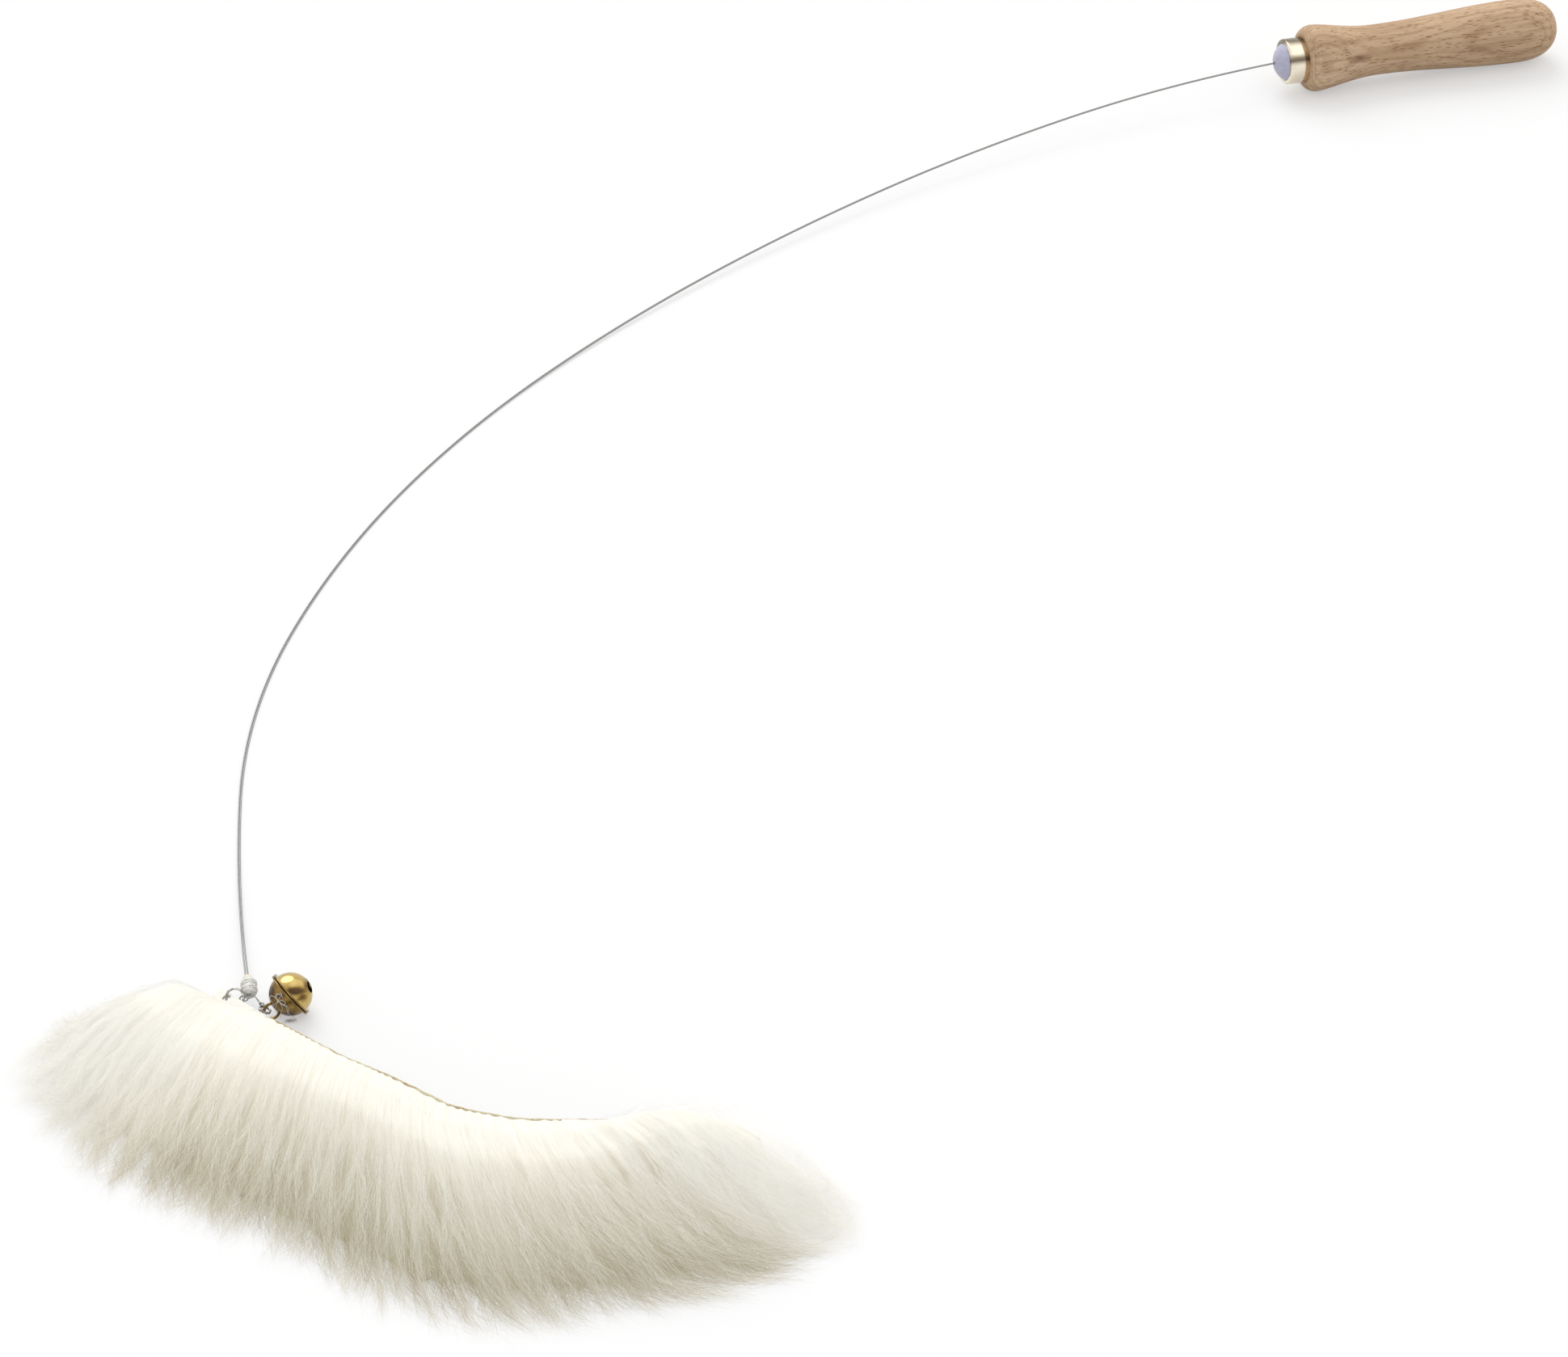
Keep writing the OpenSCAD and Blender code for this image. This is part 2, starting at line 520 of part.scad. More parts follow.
// domed plastic plug with a flange behind the lip and a barbed stem
dome_r = lip_r - slide;
ball_r = (dome_r * dome_r + dome_rise * dome_rise) / (2 * dome_rise);
dome_half = asin(dome_r / ball_r);
dome_pts = [for (i = [0:12]) let (g = dome_half * i / 12)
    [ball_r * sin(g), ball_r * (1 - cos(g)) - dome_rise]];
barb_count = 4;
stem_from = tenon_at;
barb_gap = (stem_end - stem_from) / barb_count;
barb_r = grip_bore_r - slide;
barb_pts = [for (i = [barb_count - 1:-1:0]) let (z = stem_from + barb_gap * (i + 1))
    each [[stem_r, z], [barb_r, z - barb_len], [stem_r, z - barb_len - fit]]];
module end_plug() {
    color("lavender") at_grip() difference() {
        rotate_extrude() polygon(concat(dome_pts,
            [[dome_r, lip_thick + fit], [ferrule_in_r - slide, lip_thick + fit],
             [ferrule_in_r - slide, tenon_at], [stem_r, tenon_at]],
            [for (i = [len(barb_pts) - 1:-1:0]) barb_pts[i]],
            [[0, stem_end]]));
        translate([0, 0, -dome_rise - over])
            cylinder(h = stem_end + dome_rise + 2 * over, r = wire_bore_r);
    }
}

// brass sleeve crimped on the two ends of the wire
module wire_crimp() {
    color("goldenrod") at_grip() translate([0, 0, crimp_at]) difference() {
        cylinder(h = crimp_len, r = crimp_r);
        translate([0, 0, -over]) cylinder(h = crimp_len + 2 * over, r = wire_bore_r);
    }
}

// one thin wire, doubled back on itself, with an eye at its bend
module spring_wire() {
    color("gray") tube(wire_path, wire_r, 8);
}

// the two channels that the legs run through
module leg_channels(len_all) {
    for (side = [-1, 1]) translate([side * leg_half_tip, 0, -over])
        cylinder(h = len_all + 2 * over, r = wire_r + slide);
}

bead_steps = 10;
bead_profile = [for (i = [0:bead_steps]) let (g = 180 * i / bead_steps - 90)
    [bead_r * cos(g), bead_r * sin(g)]];
module glue_bead() {
    color("ivory") along_binding(bead_at) difference() {
        rotate_extrude() polygon(bead_profile);
        translate([0, 0, -bead_r]) leg_channels(2 * bead_r);
    }
}

core_steps = 12;
core_profile = concat([[0, 0]], [for (i = [0:core_steps]) let (x = i / core_steps)
    [core_r_at(x), core_len * x]], [[0, core_len]]);
module wrap_core() {
    color("white") along_binding(core_from, bind_side) difference() {
        rotate_extrude() polygon(core_profile);
        translate([-bind_side, 0, 0]) leg_channels(core_len);
    }
}

// the thread is one unbroken tube in open turns
module wrap_thread() {
    rings = [for (i = [0:thread_steps]) thread_ring(i)];
    color("white") along_binding(core_from, bind_side) loft(rings, thread_sides);
}

// short tie from the binding to the bell's ring, ending in a loop
module tie_cord() {
    color("lightgray") at_split() {
        translate([-split_ring_r, 0, 0]) rotate([90, 0, 0]) torus(tie_loop_r, tie_r);
        translate([-split_ring_r - tie_loop_r - tie_len, 0, 0]) rotate([0, 90, 0])
            cylinder(h = tie_len, r = tie_r);
    }
}

// open steel ring through the wire's eye and the hide's hole
module fur_ring() {
    color("silver") at_tip() translate([-ring_at_side, -ring_at_along, fur_ring_z])
        rotate([90 - fur_ring_lean, 0, 0]) rotate([0, 0, 60 + ring_split / 2])
            rotate_extrude(angle = 360 - ring_split)
                translate([fur_ring_r, 0]) circle(r = fur_ring_wire_r);
}

// strip of hide, its hole takes the steel ring
module hide_strip() {
    color("tan") difference() {
        sheet_solid(hide_grid(0), hide_grid(-hide_thick), hide_rows, hide_cols);
        translate([hole_place[0], hole_place[1], 0])
            cylinder(h = 2 * edge_from_z, r = hide_hole_r);
    }
}

// solid that stands for the fur's outer shape
module fur_pile() {
    color("ivory") loft(pile_rows, pile_n);
}

// split ring: two coils side by side in one profile
coil_steps = 7;
coil_neck = 20;
function coil_arc(side) = [for (i = [0:coil_steps])
    let (g = -90 + coil_neck + (360 - 180 - 2 * coil_neck) * i / coil_steps)
    [split_coil_r * cos(g), side * split_coil_r * (1 + sin(g))]];
coil_right = coil_arc(1);
coil_far = [for (i = [coil_steps:-1:0]) [-coil_right[i][0], coil_right[i][1]]];
coil_low_far = [for (p = coil_right) [-p[0], -p[1]]];
coil_low = [for (i = [coil_steps:-1:0]) [coil_right[i][0], -coil_right[i][1]]];
module bell_ring() {
    color("silver") at_split() rotate_extrude() translate([split_ring_r, 0])
        polygon(concat(coil_right, coil_far, coil_low_far, coil_low));
}

// half of the shell, its rim against the seam
module half_shell() {
    intersection() {
        sphere(r = bell_r, $fn = 96);
        translate([-bell_r - over, -bell_r - over, fit])
            cube([2 * (bell_r + over), 2 * (bell_r + over), bell_r + over]);
    }
    translate([0, 0, fit]) cylinder(h = rim_thick, r = rim_r, $fn = 96);
}
cavity_r = bell_r - bell_wall;

// half with the brazed loop
loop_face = 45.9;
module bell_upper() {
    color("darkgoldenrod") at_bell() difference() {
        union() {
            mirror([0, 0, 1]) half_shell();
            translate([0, 0, -loop_off]) rotate([0, 0, loop_face]) rotate([0, 90, 0])
                torus(loop_r, loop_wire_r);
        }
        sphere(r = cavity_r, $fn = 96);
    }
}

// half with the slot and its two round ends
slot_out = bell_r * sin(slot_angle);
module bell_lower() {
    color("darkgoldenrod") at_bell() difference() {
        half_shell();
        sphere(r = cavity_r, $fn = 96);
        rotate([0, 0, slot_turn]) {
            translate([-slot_out, -slot_w / 2, bell_r / 2]) cube([2 * slot_out, slot_w, bell_r]);
            for (side = [-1, 1]) translate([side * slot_out, 0, bell_r / 2])
                cylinder(h = bell_r, r = slot_hole_r);
        }
    }
}

// loose ball that rests at the bottom of the bell
pellet_gap = 0.15;
module bell_pellet() {
    color("dimgray") at_tip()
        translate([bell_side, -bell_along, bell_z - cavity_r + pellet_r + pellet_gap])
            sphere(r = pellet_r);
}

handle_grip();
ferrule();
end_plug();
wire_crimp();
spring_wire();
glue_bead();
wrap_core();
wrap_thread();
tie_cord();
fur_ring();
hide_strip();
fur_pile();
bell_ring();
bell_upper();
bell_lower();
bell_pellet();
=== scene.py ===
import bpy
import math
import random
from functools import partial
from mathutils import Euler, Matrix, Vector


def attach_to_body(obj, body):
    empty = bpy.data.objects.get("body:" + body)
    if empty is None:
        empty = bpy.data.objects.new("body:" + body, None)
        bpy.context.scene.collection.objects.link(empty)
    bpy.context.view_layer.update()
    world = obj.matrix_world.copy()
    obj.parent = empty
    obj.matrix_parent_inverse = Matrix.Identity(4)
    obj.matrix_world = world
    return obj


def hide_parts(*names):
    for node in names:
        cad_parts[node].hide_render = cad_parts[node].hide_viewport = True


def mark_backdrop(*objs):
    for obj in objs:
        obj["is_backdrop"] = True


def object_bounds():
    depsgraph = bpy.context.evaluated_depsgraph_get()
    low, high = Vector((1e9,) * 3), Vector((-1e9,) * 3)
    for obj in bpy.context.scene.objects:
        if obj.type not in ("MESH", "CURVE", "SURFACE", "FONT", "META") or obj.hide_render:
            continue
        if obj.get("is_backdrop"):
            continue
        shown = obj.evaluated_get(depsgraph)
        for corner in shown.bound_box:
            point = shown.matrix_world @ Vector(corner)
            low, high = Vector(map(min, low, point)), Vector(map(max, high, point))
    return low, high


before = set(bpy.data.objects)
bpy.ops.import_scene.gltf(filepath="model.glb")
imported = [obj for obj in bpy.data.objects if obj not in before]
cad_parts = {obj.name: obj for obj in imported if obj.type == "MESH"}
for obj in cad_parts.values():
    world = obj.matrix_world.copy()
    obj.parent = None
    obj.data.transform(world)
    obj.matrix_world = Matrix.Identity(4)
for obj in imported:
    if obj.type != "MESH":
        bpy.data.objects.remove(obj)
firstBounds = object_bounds()
mm = 0.001
upright = Vector((0, 0, 1))
white = (1.0, 1.0, 1.0)
black = (0.0, 0.0, 0.0)


# Camera first: it looks from where the photo was taken
cameraSettings = {
    "place": (-0.04696, -1.2841, 0.895),
    "pitchDown": 36.5,
    "lens": 100.0,
    "sensor": 36.0,
    "clip": (0.05, 30.0),
}


def addCamera(s):
    data = bpy.data.cameras.new("viewCamera")
    data.lens = s["lens"]
    data.sensor_width = s["sensor"]
    data.clip_start, data.clip_end = s["clip"]
    data.dof.use_dof = False
    camera = bpy.data.objects.new("viewCamera", data)
    camera.location = s["place"]
    camera.rotation_euler = Euler((math.radians(90 - s["pitchDown"]), 0, 0))
    bpy.context.scene.collection.objects.link(camera)
    bpy.context.scene.camera = camera


addCamera(cameraSettings)
viewDown = math.radians(cameraSettings["pitchDown"])
viewUp = Vector((0, math.sin(viewDown), math.cos(viewDown)))
viewRight = Vector((1, 0, 0))
viewBack = Vector((0, -math.cos(viewDown), math.sin(viewDown)))
print("camera set")


# Small helpers for numbers
def clamp(x):
    return min(1.0, max(0.0, x))


def swell(low, high, x):
    return low + (high - low) * (1 - math.cos(math.pi * x)) / 2


def ease(x, size=1.0):
    return size * x * x * (3 - 2 * x)


def between(table, x):
    for (a, fa), (b, fb) in zip(table, table[1:]):
        if x <= b:
            return fa + (fb - fa) * (x - a) / (b - a)
    return table[-1][1]


def headingVector(angle):
    return Vector((math.cos(angle), math.sin(angle), 0))


# Small helpers for meshes
def linkObject(name, data):
    obj = bpy.data.objects.new(name, data)
    bpy.context.scene.collection.objects.link(obj)
    return obj


def dropObject(obj):
    bpy.data.objects.remove(obj, do_unlink=True)


def smoothFaces(mesh):
    mesh.polygons.foreach_set("use_smooth", [True] * len(mesh.polygons))


def addMesh(name, points, faces, smooth=True):
    mesh = bpy.data.meshes.new(name)
    mesh.from_pydata([tuple(p) for p in points], [], faces)
    mesh.validate()
    mesh.update()
    if smooth:
        smoothFaces(mesh)
    return linkObject(name, mesh)


def addPoints(name, points, joined=True):
    edges = [(i, i + 1) for i in range(len(points) - 1)] if joined else []
    mesh = bpy.data.meshes.new(name)
    mesh.from_pydata(points, edges, [])
    return linkObject(name, mesh)


def attach(obj, body, slot, *nodes):
    if nodes:
        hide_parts(*nodes)
    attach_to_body(obj, body)


def setMaterial(obj, material):
    obj.data.materials.clear()
    obj.data.materials.append(material)


def sharpen(obj, degrees):
    limit = math.radians(degrees)
    sides = {}
    for polygon in obj.data.polygons:
        for key in polygon.edge_keys:
            sides.setdefault(key, []).append(polygon.normal)
    edges = {e.key: e for e in obj.data.edges}
    for key, normals in sides.items():
        if len(normals) == 2 and normals[0].length and normals[1].length:
            if normals[0].angle(normals[1]) > limit:
                edges[key].use_edge_sharp = True


def pointAttribute(obj, name, values):
    vectors = isinstance(values[0], Vector)
    layer = obj.data.attributes.new(name, "FLOAT_VECTOR" if vectors else "FLOAT", "POINT")
    if vectors:
        layer.data.foreach_set("vector", [c for v in values for c in v])
    else:
        layer.data.foreach_set("value", values)


def ringFaces(rows, count, flip=False):
    faces = []
    for i in range(rows):
        for k in range(count):
            q = (k + 1) % count
            a, b = i * count, (i + 1) * count
            faces.append((a + k, a + q, b + q, b + k) if flip else (a + k, b + k, b + q, a + q))
    return faces


def ballAngles(rows, cols):
    return [(math.pi * i / rows, math.tau * k / cols) for i in range(rows + 1) for k in range(cols)]


def latheData(profile, count):
    points = []
    rings = []
    for r, z in profile:
        if r < 1e-9:
            rings.append([len(points)])
            points.append(Vector((0, 0, z)))
            continue
        rings.append(list(range(len(points), len(points) + count)))
        for k in range(count):
            a = math.tau * k / count
            points.append(Vector((r * math.cos(a), r * math.sin(a), z)))
    faces = []
    for low, high in zip(rings, rings[1:]):
        for k in range(count):
            q = (k + 1) % count
            if len(low) == 1 and len(high) > 1:
                faces.append((low[0], high[q], high[k]))
            elif len(high) == 1 and len(low) > 1:
                faces.append((low[k], low[q], high[0]))
            elif len(low) > 1:
                faces.append((low[k], low[q], high[q], high[k]))
    return points, faces


def latheRing(name, profile, count, place):
    points, faces = latheData(profile + profile[:1], count)
    n = len(points) - count
    faces = [tuple(i if i < n else i - n for i in f) for f in faces]
    obj = addMesh(name, [place @ p for p in points[:n]], faces)
    pointAttribute(obj, "ownPlace", points[:n])
    return obj


def tubeData(path, radius, sides):
    points = []
    normal = None
    for i, p in enumerate(path):
        t = (path[min(i + 1, len(path) - 1)] - path[max(i - 1, 0)]).normalized()
        if normal is None:
            normal = upright.cross(t)
        normal = (normal - t * normal.dot(t)).normalized()
        side = t.cross(normal)
        for k in range(sides):
            g = math.tau * k / sides
            points.append(p + (normal * math.cos(g) + side * math.sin(g)) * radius)
    last = (len(path) - 1) * sides
    faces = ringFaces(len(path) - 1, sides, flip=True)
    faces.append(tuple(reversed(range(sides))))
    faces.append(tuple(last + k for k in range(sides)))
    return points, faces


def addTubes(name, paths, radius, sides):
    points = []
    faces = []
    for path in paths:
        more, corners = tubeData(path, radius, sides)
        faces += [tuple(k + len(points) for k in face) for face in corners]
        points += more
    return addMesh(name, points, faces)


def smoothPath(keys, steps):
    out = []
    for i, (a, b) in enumerate(zip(keys, keys[1:])):
        before = keys[i - 1] if i else a * 2 - b
        after = keys[i + 2] if i + 2 < len(keys) else b * 2 - a
        for k in range(steps):
            t = k / steps
            out.append(0.5 * ((2 * a) + (b - before) * t + (2 * before - 5 * a + 4 * b - after) * t * t
                              + (3 * a - before - 3 * b + after) * t ** 3))
    out.append(keys[-1])
    return out


def bakedMesh(obj):
    bpy.context.view_layer.update()
    depsgraph = bpy.context.evaluated_depsgraph_get()
    mesh = bpy.data.meshes.new_from_object(obj.evaluated_get(depsgraph), depsgraph=depsgraph)
    obj.modifiers.clear()
    return mesh


def booleanCut(obj, cutters):
    for cutter in cutters:
        modifier = obj.modifiers.new("cut", "BOOLEAN")
        modifier.operation = "DIFFERENCE"
        modifier.solver = "EXACT"
        modifier.object = cutter
    obj.data = bakedMesh(obj)
    for cutter in cutters:
        dropObject(cutter)


# Nodes are made in one way for materials, the world and geometry node groups
def addNode(tree, kind, inputs=None, **properties):
    node = tree.nodes.new(kind)
    for key, value in properties.items():
        setattr(node, key, value)
    for key, value in (inputs or {}).items():
        if isinstance(value, bpy.types.NodeSocket):
            tree.links.new(value, node.inputs[key])
        else:
            node.inputs[key].default_value = value
    return node


def mathNode(tree, operation, *values):
    return addNode(tree, "ShaderNodeMath", dict(enumerate(values)), operation=operation).outputs[0]


def mathsFor(tree):
    calc = partial(mathNode, tree)
    return calc, *[partial(calc, name) for name in ("ADD", "SUBTRACT", "MULTIPLY", "MULTIPLY_ADD", "POWER")]


def vectorMath(tree, operation, *values, **inputs):
    inputs = {**dict(enumerate(values)), **inputs}
    return addNode(tree, "ShaderNodeVectorMath", inputs, operation=operation).outputs[0]


def combineNode(tree, *values):
    return addNode(tree, "ShaderNodeCombineXYZ", dict(enumerate(values))).outputs[0]


def rangeNode(tree, value, limits, **properties):
    return addNode(tree, "ShaderNodeMapRange", {"Value": value, **limits}, **properties).outputs[0]


def clampNode(tree, value, low, high):
    return addNode(tree, "ShaderNodeClamp", {"Value": value, "Min": low, "Max": high}).outputs[0]


def lineNoise(tree, value, detail):
    inputs = {"W": value, "Scale": 1.0, "Detail": detail}
    return addNode(tree, "ShaderNodeTexNoise", inputs, noise_dimensions="1D").outputs


# Materials, all procedural
def newMaterial(name):
    material = bpy.data.materials.new(name)
    material.use_nodes = True
    material.node_tree.nodes.clear()
    return material, material.node_tree


def finishMaterial(material, inputs):
    tree = material.node_tree
    body = addNode(tree, "ShaderNodeBsdfPrincipled", inputs)
    addNode(tree, "ShaderNodeOutputMaterial", {"Surface": body.outputs["BSDF"]})
    return material


def objectPlace(tree):
    return addNode(tree, "ShaderNodeTexCoord").outputs["Object"]


def attributeNode(tree, name, output="Fac"):
    return addNode(tree, "ShaderNodeAttribute", attribute_name=name).outputs[output]


def stretched(tree, place, scale):
    return addNode(tree, "ShaderNodeMapping", {"Vector": place, "Scale": scale}).outputs["Vector"]


def noiseNode(tree, place, scale, detail=3.0, rough=0.5):
    if isinstance(scale, tuple):
        place, scale = stretched(tree, place, scale), 1.0
    inputs = {"Vector": place, "Scale": scale, "Detail": detail, "Roughness": rough}
    return addNode(tree, "ShaderNodeTexNoise", inputs).outputs["Fac"]


def rampNode(tree, source, stops):
    node = addNode(tree, "ShaderNodeValToRGB", {"Fac": source})
    ramp = node.color_ramp
    while len(ramp.elements) < len(stops):
        ramp.elements.new(0.5)
    for element, (at, color) in zip(ramp.elements, stops):
        element.position = at
        element.color = (*color, 1.0)
    return node.outputs["Color"]


def mixNode(tree, factor, a, b, kind="MIX"):
    inputs = {0: factor, 6: a, 7: b}
    return addNode(tree, "ShaderNodeMix", inputs, data_type="RGBA", blend_type=kind).outputs[2]


def stain(tree, color, tint, amount=1.0):
    return mixNode(tree, amount, color, tint, "MULTIPLY")


def bumpNode(tree, height, strength, distance):
    inputs = {"Height": height, "Strength": strength, "Distance": distance}
    return addNode(tree, "ShaderNodeBump", inputs).outputs["Normal"]


def metalMaterial(name, color, rough, scale=900.0, spots=None, tint=None):
    material, tree = newMaterial(name)
    noise = noiseNode(tree, objectPlace(tree), scale, 4.0, 0.6)
    dark = spots or tuple(c * 0.8 for c in color)
    tone = rampNode(tree, noise, [(0.3, dark), (0.62, color)])
    return finishMaterial(material, {
        "Base Color": stain(tree, tone, tint(tree)) if tint else tone, "Metallic": 1.0,
        "Roughness": rangeNode(tree, noise, {"To Min": rough * 0.8, "To Max": rough * 1.3}),
        "Normal": bumpNode(tree, noise, 0.05, 0.0002)})


def clothMaterial(name, light, dark, scale, rough=0.85, sheen=0.3, scatter=0.15, tint=None):
    material, tree = newMaterial(name)
    fine = noiseNode(tree, objectPlace(tree), scale, 5.0, 0.65)
    tone = rampNode(tree, fine, [(0.3, dark), (0.65, light)])
    return finishMaterial(material, {
        "Base Color": stain(tree, tone, tint(tree)) if tint else tone, "Roughness": rough,
        "Sheen Weight": sheen, "Subsurface Weight": scatter, "Subsurface Scale": 0.001,
        "Normal": bumpNode(tree, fine, 0.4, 0.0003)})


def waxyMaterial(name, place, scale, dark, light, rough, scatter, bump):
    material, tree = newMaterial(name)
    noise = noiseNode(tree, attributeNode(tree, place, "Vector") if place else objectPlace(tree), scale)
    return finishMaterial(material, {
        "Base Color": rampNode(tree, noise, [(0.3, dark), (0.7, light)]), "Roughness": rough,
        "Subsurface Weight": 0.3, "Subsurface Scale": scatter, "Normal": bumpNode(tree, noise, *bump)})


# Geometry node groups; an input's kind is read from its first value, or named
def newGroup(name, inputs):
    group = bpy.data.node_groups.new(name, "GeometryNodeTree")
    group.interface.new_socket("Geometry", in_out="INPUT", socket_type="NodeSocketGeometry")
    group.interface.new_socket("Geometry", in_out="OUTPUT", socket_type="NodeSocketGeometry")
    for key, value in {**inputs, "Material": "Material"}.items():
        kind = {int: "Int", float: "Float"}.get(type(value), value)
        socket = group.interface.new_socket(key, in_out="INPUT", socket_type="NodeSocket" + kind)
        if kind != value:
            socket.default_value = value
    return group, group.nodes.new("NodeGroupInput").outputs


def finishGroup(group, geometry, material):
    real = addNode(group, "GeometryNodeRealizeInstances", {"Geometry": geometry}).outputs[0]
    painted = addNode(group, "GeometryNodeSetMaterial", {"Geometry": real, "Material": material})
    addNode(group, "NodeGroupOutput", {0: painted.outputs[0]})
    return group


def readAttribute(group, name, kind="FLOAT"):
    return addNode(group, "GeometryNodeInputNamedAttribute", {"Name": name}, data_type=kind).outputs[0]


def storeAttribute(group, geometry, name, value, kind="FLOAT"):
    inputs = {"Geometry": geometry, "Name": name, "Value": value}
    node = addNode(group, "GeometryNodeStoreNamedAttribute", inputs, data_type=kind, domain="POINT")
    return node.outputs[0]


def circleNode(group, sides):
    inputs = {"Resolution": sides, "Radius": 1.0}
    return addNode(group, "GeometryNodeCurvePrimitiveCircle", inputs).outputs[0]


def sweepNode(group, curve, ring, scale):
    inputs = {"Curve": curve, "Profile Curve": ring, "Scale": scale, "Fill Caps": True}
    return addNode(group, "GeometryNodeCurveToMesh", inputs).outputs[0]


def smoothNode(group, geometry):
    return addNode(group, "GeometryNodeSetShadeSmooth", {"Geometry": geometry}).outputs[0]


def lineNode(group, mesh):
    return addNode(group, "GeometryNodeMeshToCurve", {"Mesh": mesh}).outputs[0]


def bakeGroup(name, source, group, values):
    modifier = source.modifiers.new("build", "NODES")
    modifier.node_group = group
    known = {i.name: i.identifier for i in group.interface.items_tree if i.in_out == "INPUT"}
    for key, value in values.items():
        modifier[known[key]] = value
    mesh = bakedMesh(source)
    mesh.name = name
    obj = linkObject(name, mesh)
    dropObject(source)
    return obj


# Spring wire: one thin wire doubled back on itself, the cord of this object
wireSettings = {
    "radius": 0.25 * mm,
    "legHalf": 0.29 * mm,
    "legHalfTip": 0.39 * mm,
    "length": 754 * mm,
    "turns": (13.5, 8.5, 7.0, 8.0, 11.0, 12.0, 18.0, 6.3),
    "exit": (0.159, 0.341),
    "gripHeading": 16.0,
    "restZ": 0.32 * mm,
    "fallLength": 440 * mm,
    "liftLength": 90 * mm,
    "tipZ": 3.0 * mm,
    "partLength": 25 * mm,
    "eyeRadius": 1.3 * mm,
    "eyeSide": 1.8 * mm,
    "eyeAlong": 10.1 * mm,
    "eyeSteps": 24,
    "eyeLeads": (0.6 * mm, 0.15 * mm),
    "eyeReturn": (0.2 * mm, 0.05 * mm),
    "bendAt": 8.65 * mm,
    "frameSteps": 32,
    "finer": 12,
    "sides": 10,
    "tail": 25.0 * mm,
    "tailShares": (1.0, 2 / 3, 1 / 3),
}
gripSettings = {
    "length": 123.0,
    "flareRadius": 14.0,
    "flareAt": 13.5,
    "waistRadius": 10.6,
    "waistAt": 42.0,
    "buttRadius": 13.4,
    "buttAt": 104.0,
    "buttPower": 2.5,
    "shoulderRadius": 9.9,
    "frontEdge": 8.34,
    "waistSkew": 0.75,
    "domeRise": 4.2,
    "fit": 0.02,
    "steps": (12, 44, 22),
    "endRadius": 0.05,
    "sides": 96,
}


def gripDip(g):
    return math.asin((g["flareRadius"] - g["buttRadius"]) / (g["buttAt"] - g["flareAt"]))


def gripPlace(g, w):
    dip = gripDip(g)
    height = g["flareRadius"] * math.cos(dip) + (g["flareAt"] + g["domeRise"]) * math.sin(dip) + g["fit"]
    turn = Euler((0, math.pi / 2 + dip, math.radians(w["gripHeading"]))).to_matrix().to_4x4()
    place = Matrix.Translation(Vector((w["exit"][0], w["exit"][1], height * mm)))
    return place @ turn @ Matrix.Translation(Vector((0, 0, g["domeRise"] * mm))), height * mm


atGrip, exitHeight = gripPlace(gripSettings, wireSettings)
gripTurn = atGrip.to_3x3()


def wireHeading(w, share):
    turns = w["turns"]
    p = min(len(turns) - 1e-4, share * len(turns))
    k = int(p)
    return math.radians(w["gripHeading"] + 180 + sum(turns[:k]) + turns[k] * (p - k))


def wireHeight(w, s):
    fall = max(0.0, 1 - s / w["fallLength"]) ** 2
    lift = max(0.0, (s - w["length"] + w["liftLength"]) / w["liftLength"]) ** 2
    return w["restZ"] + (exitHeight - w["restZ"]) * fall + (w["tipZ"] - w["restZ"]) * lift


def wireCourse(w, steps):
    x, y = w["exit"]
    out = []
    for i in range(steps + 1):
        s = w["length"] * i / steps
        out.append((Vector((x, y, wireHeight(w, s))), wireHeading(w, i / steps), s))
        h = wireHeading(w, (i + 0.5) / steps)
        x += w["length"] / steps * math.cos(h)
        y += w["length"] / steps * math.sin(h)
    return out


tipPoint, tipHeading = wireCourse(wireSettings, wireSettings["frameSteps"])[-1][:2]
tipSide = Vector((-math.sin(tipHeading), math.cos(tipHeading), 0))
tipAlong = headingVector(tipHeading)


def tipPlace(side, along, z):
    flat = Vector((tipPoint.x, tipPoint.y, 0))
    return flat + tipSide * side + tipAlong * along + Vector((0, 0, z))


def legPath(w, side):
    course = wireCourse(w, w["frameSteps"] * w["finer"])
    gap = tipPoint - course[-1][0]
    out = []
    for p, h, s in course:
        part = max(0.0, (s - w["length"] + w["partLength"]) / w["partLength"])
        half = w["legHalf"] + (w["legHalfTip"] - w["legHalf"]) * part
        out.append(p + gap * (s / w["length"]) + Vector((-math.sin(h), math.cos(h), 0)) * half * side)
    return out


def eyePath(w):
    def tangent(side, way):
        dx = -w["eyeSide"] - side
        dy = w["eyeAlong"] - w["bendAt"]
        return math.atan2(dy, dx) + way * math.asin(w["eyeRadius"] / math.hypot(dx, dy))

    half = w["legHalfTip"]
    first = tangent(half, -1) - math.pi / 2
    last = tangent(-half, 1) + math.pi / 2
    spots = [(half, w["bendAt"] - lead) for lead in w["eyeLeads"]]
    for i in range(w["eyeSteps"] + 1):
        g = first + (last - first) * i / w["eyeSteps"]
        side, along = w["eyeRadius"] * math.cos(g), w["eyeRadius"] * math.sin(g)
        spots.append((side - w["eyeSide"], along + w["eyeAlong"]))
    spots.append((-half - w["eyeReturn"][0], w["bendAt"] + w["eyeReturn"][1]))
    spots += [(-half, w["bendAt"] - lead) for lead in reversed(w["eyeLeads"])]
    return smoothPath([tipPlace(side, along, w["tipZ"]) for side, along in spots], steps=2)


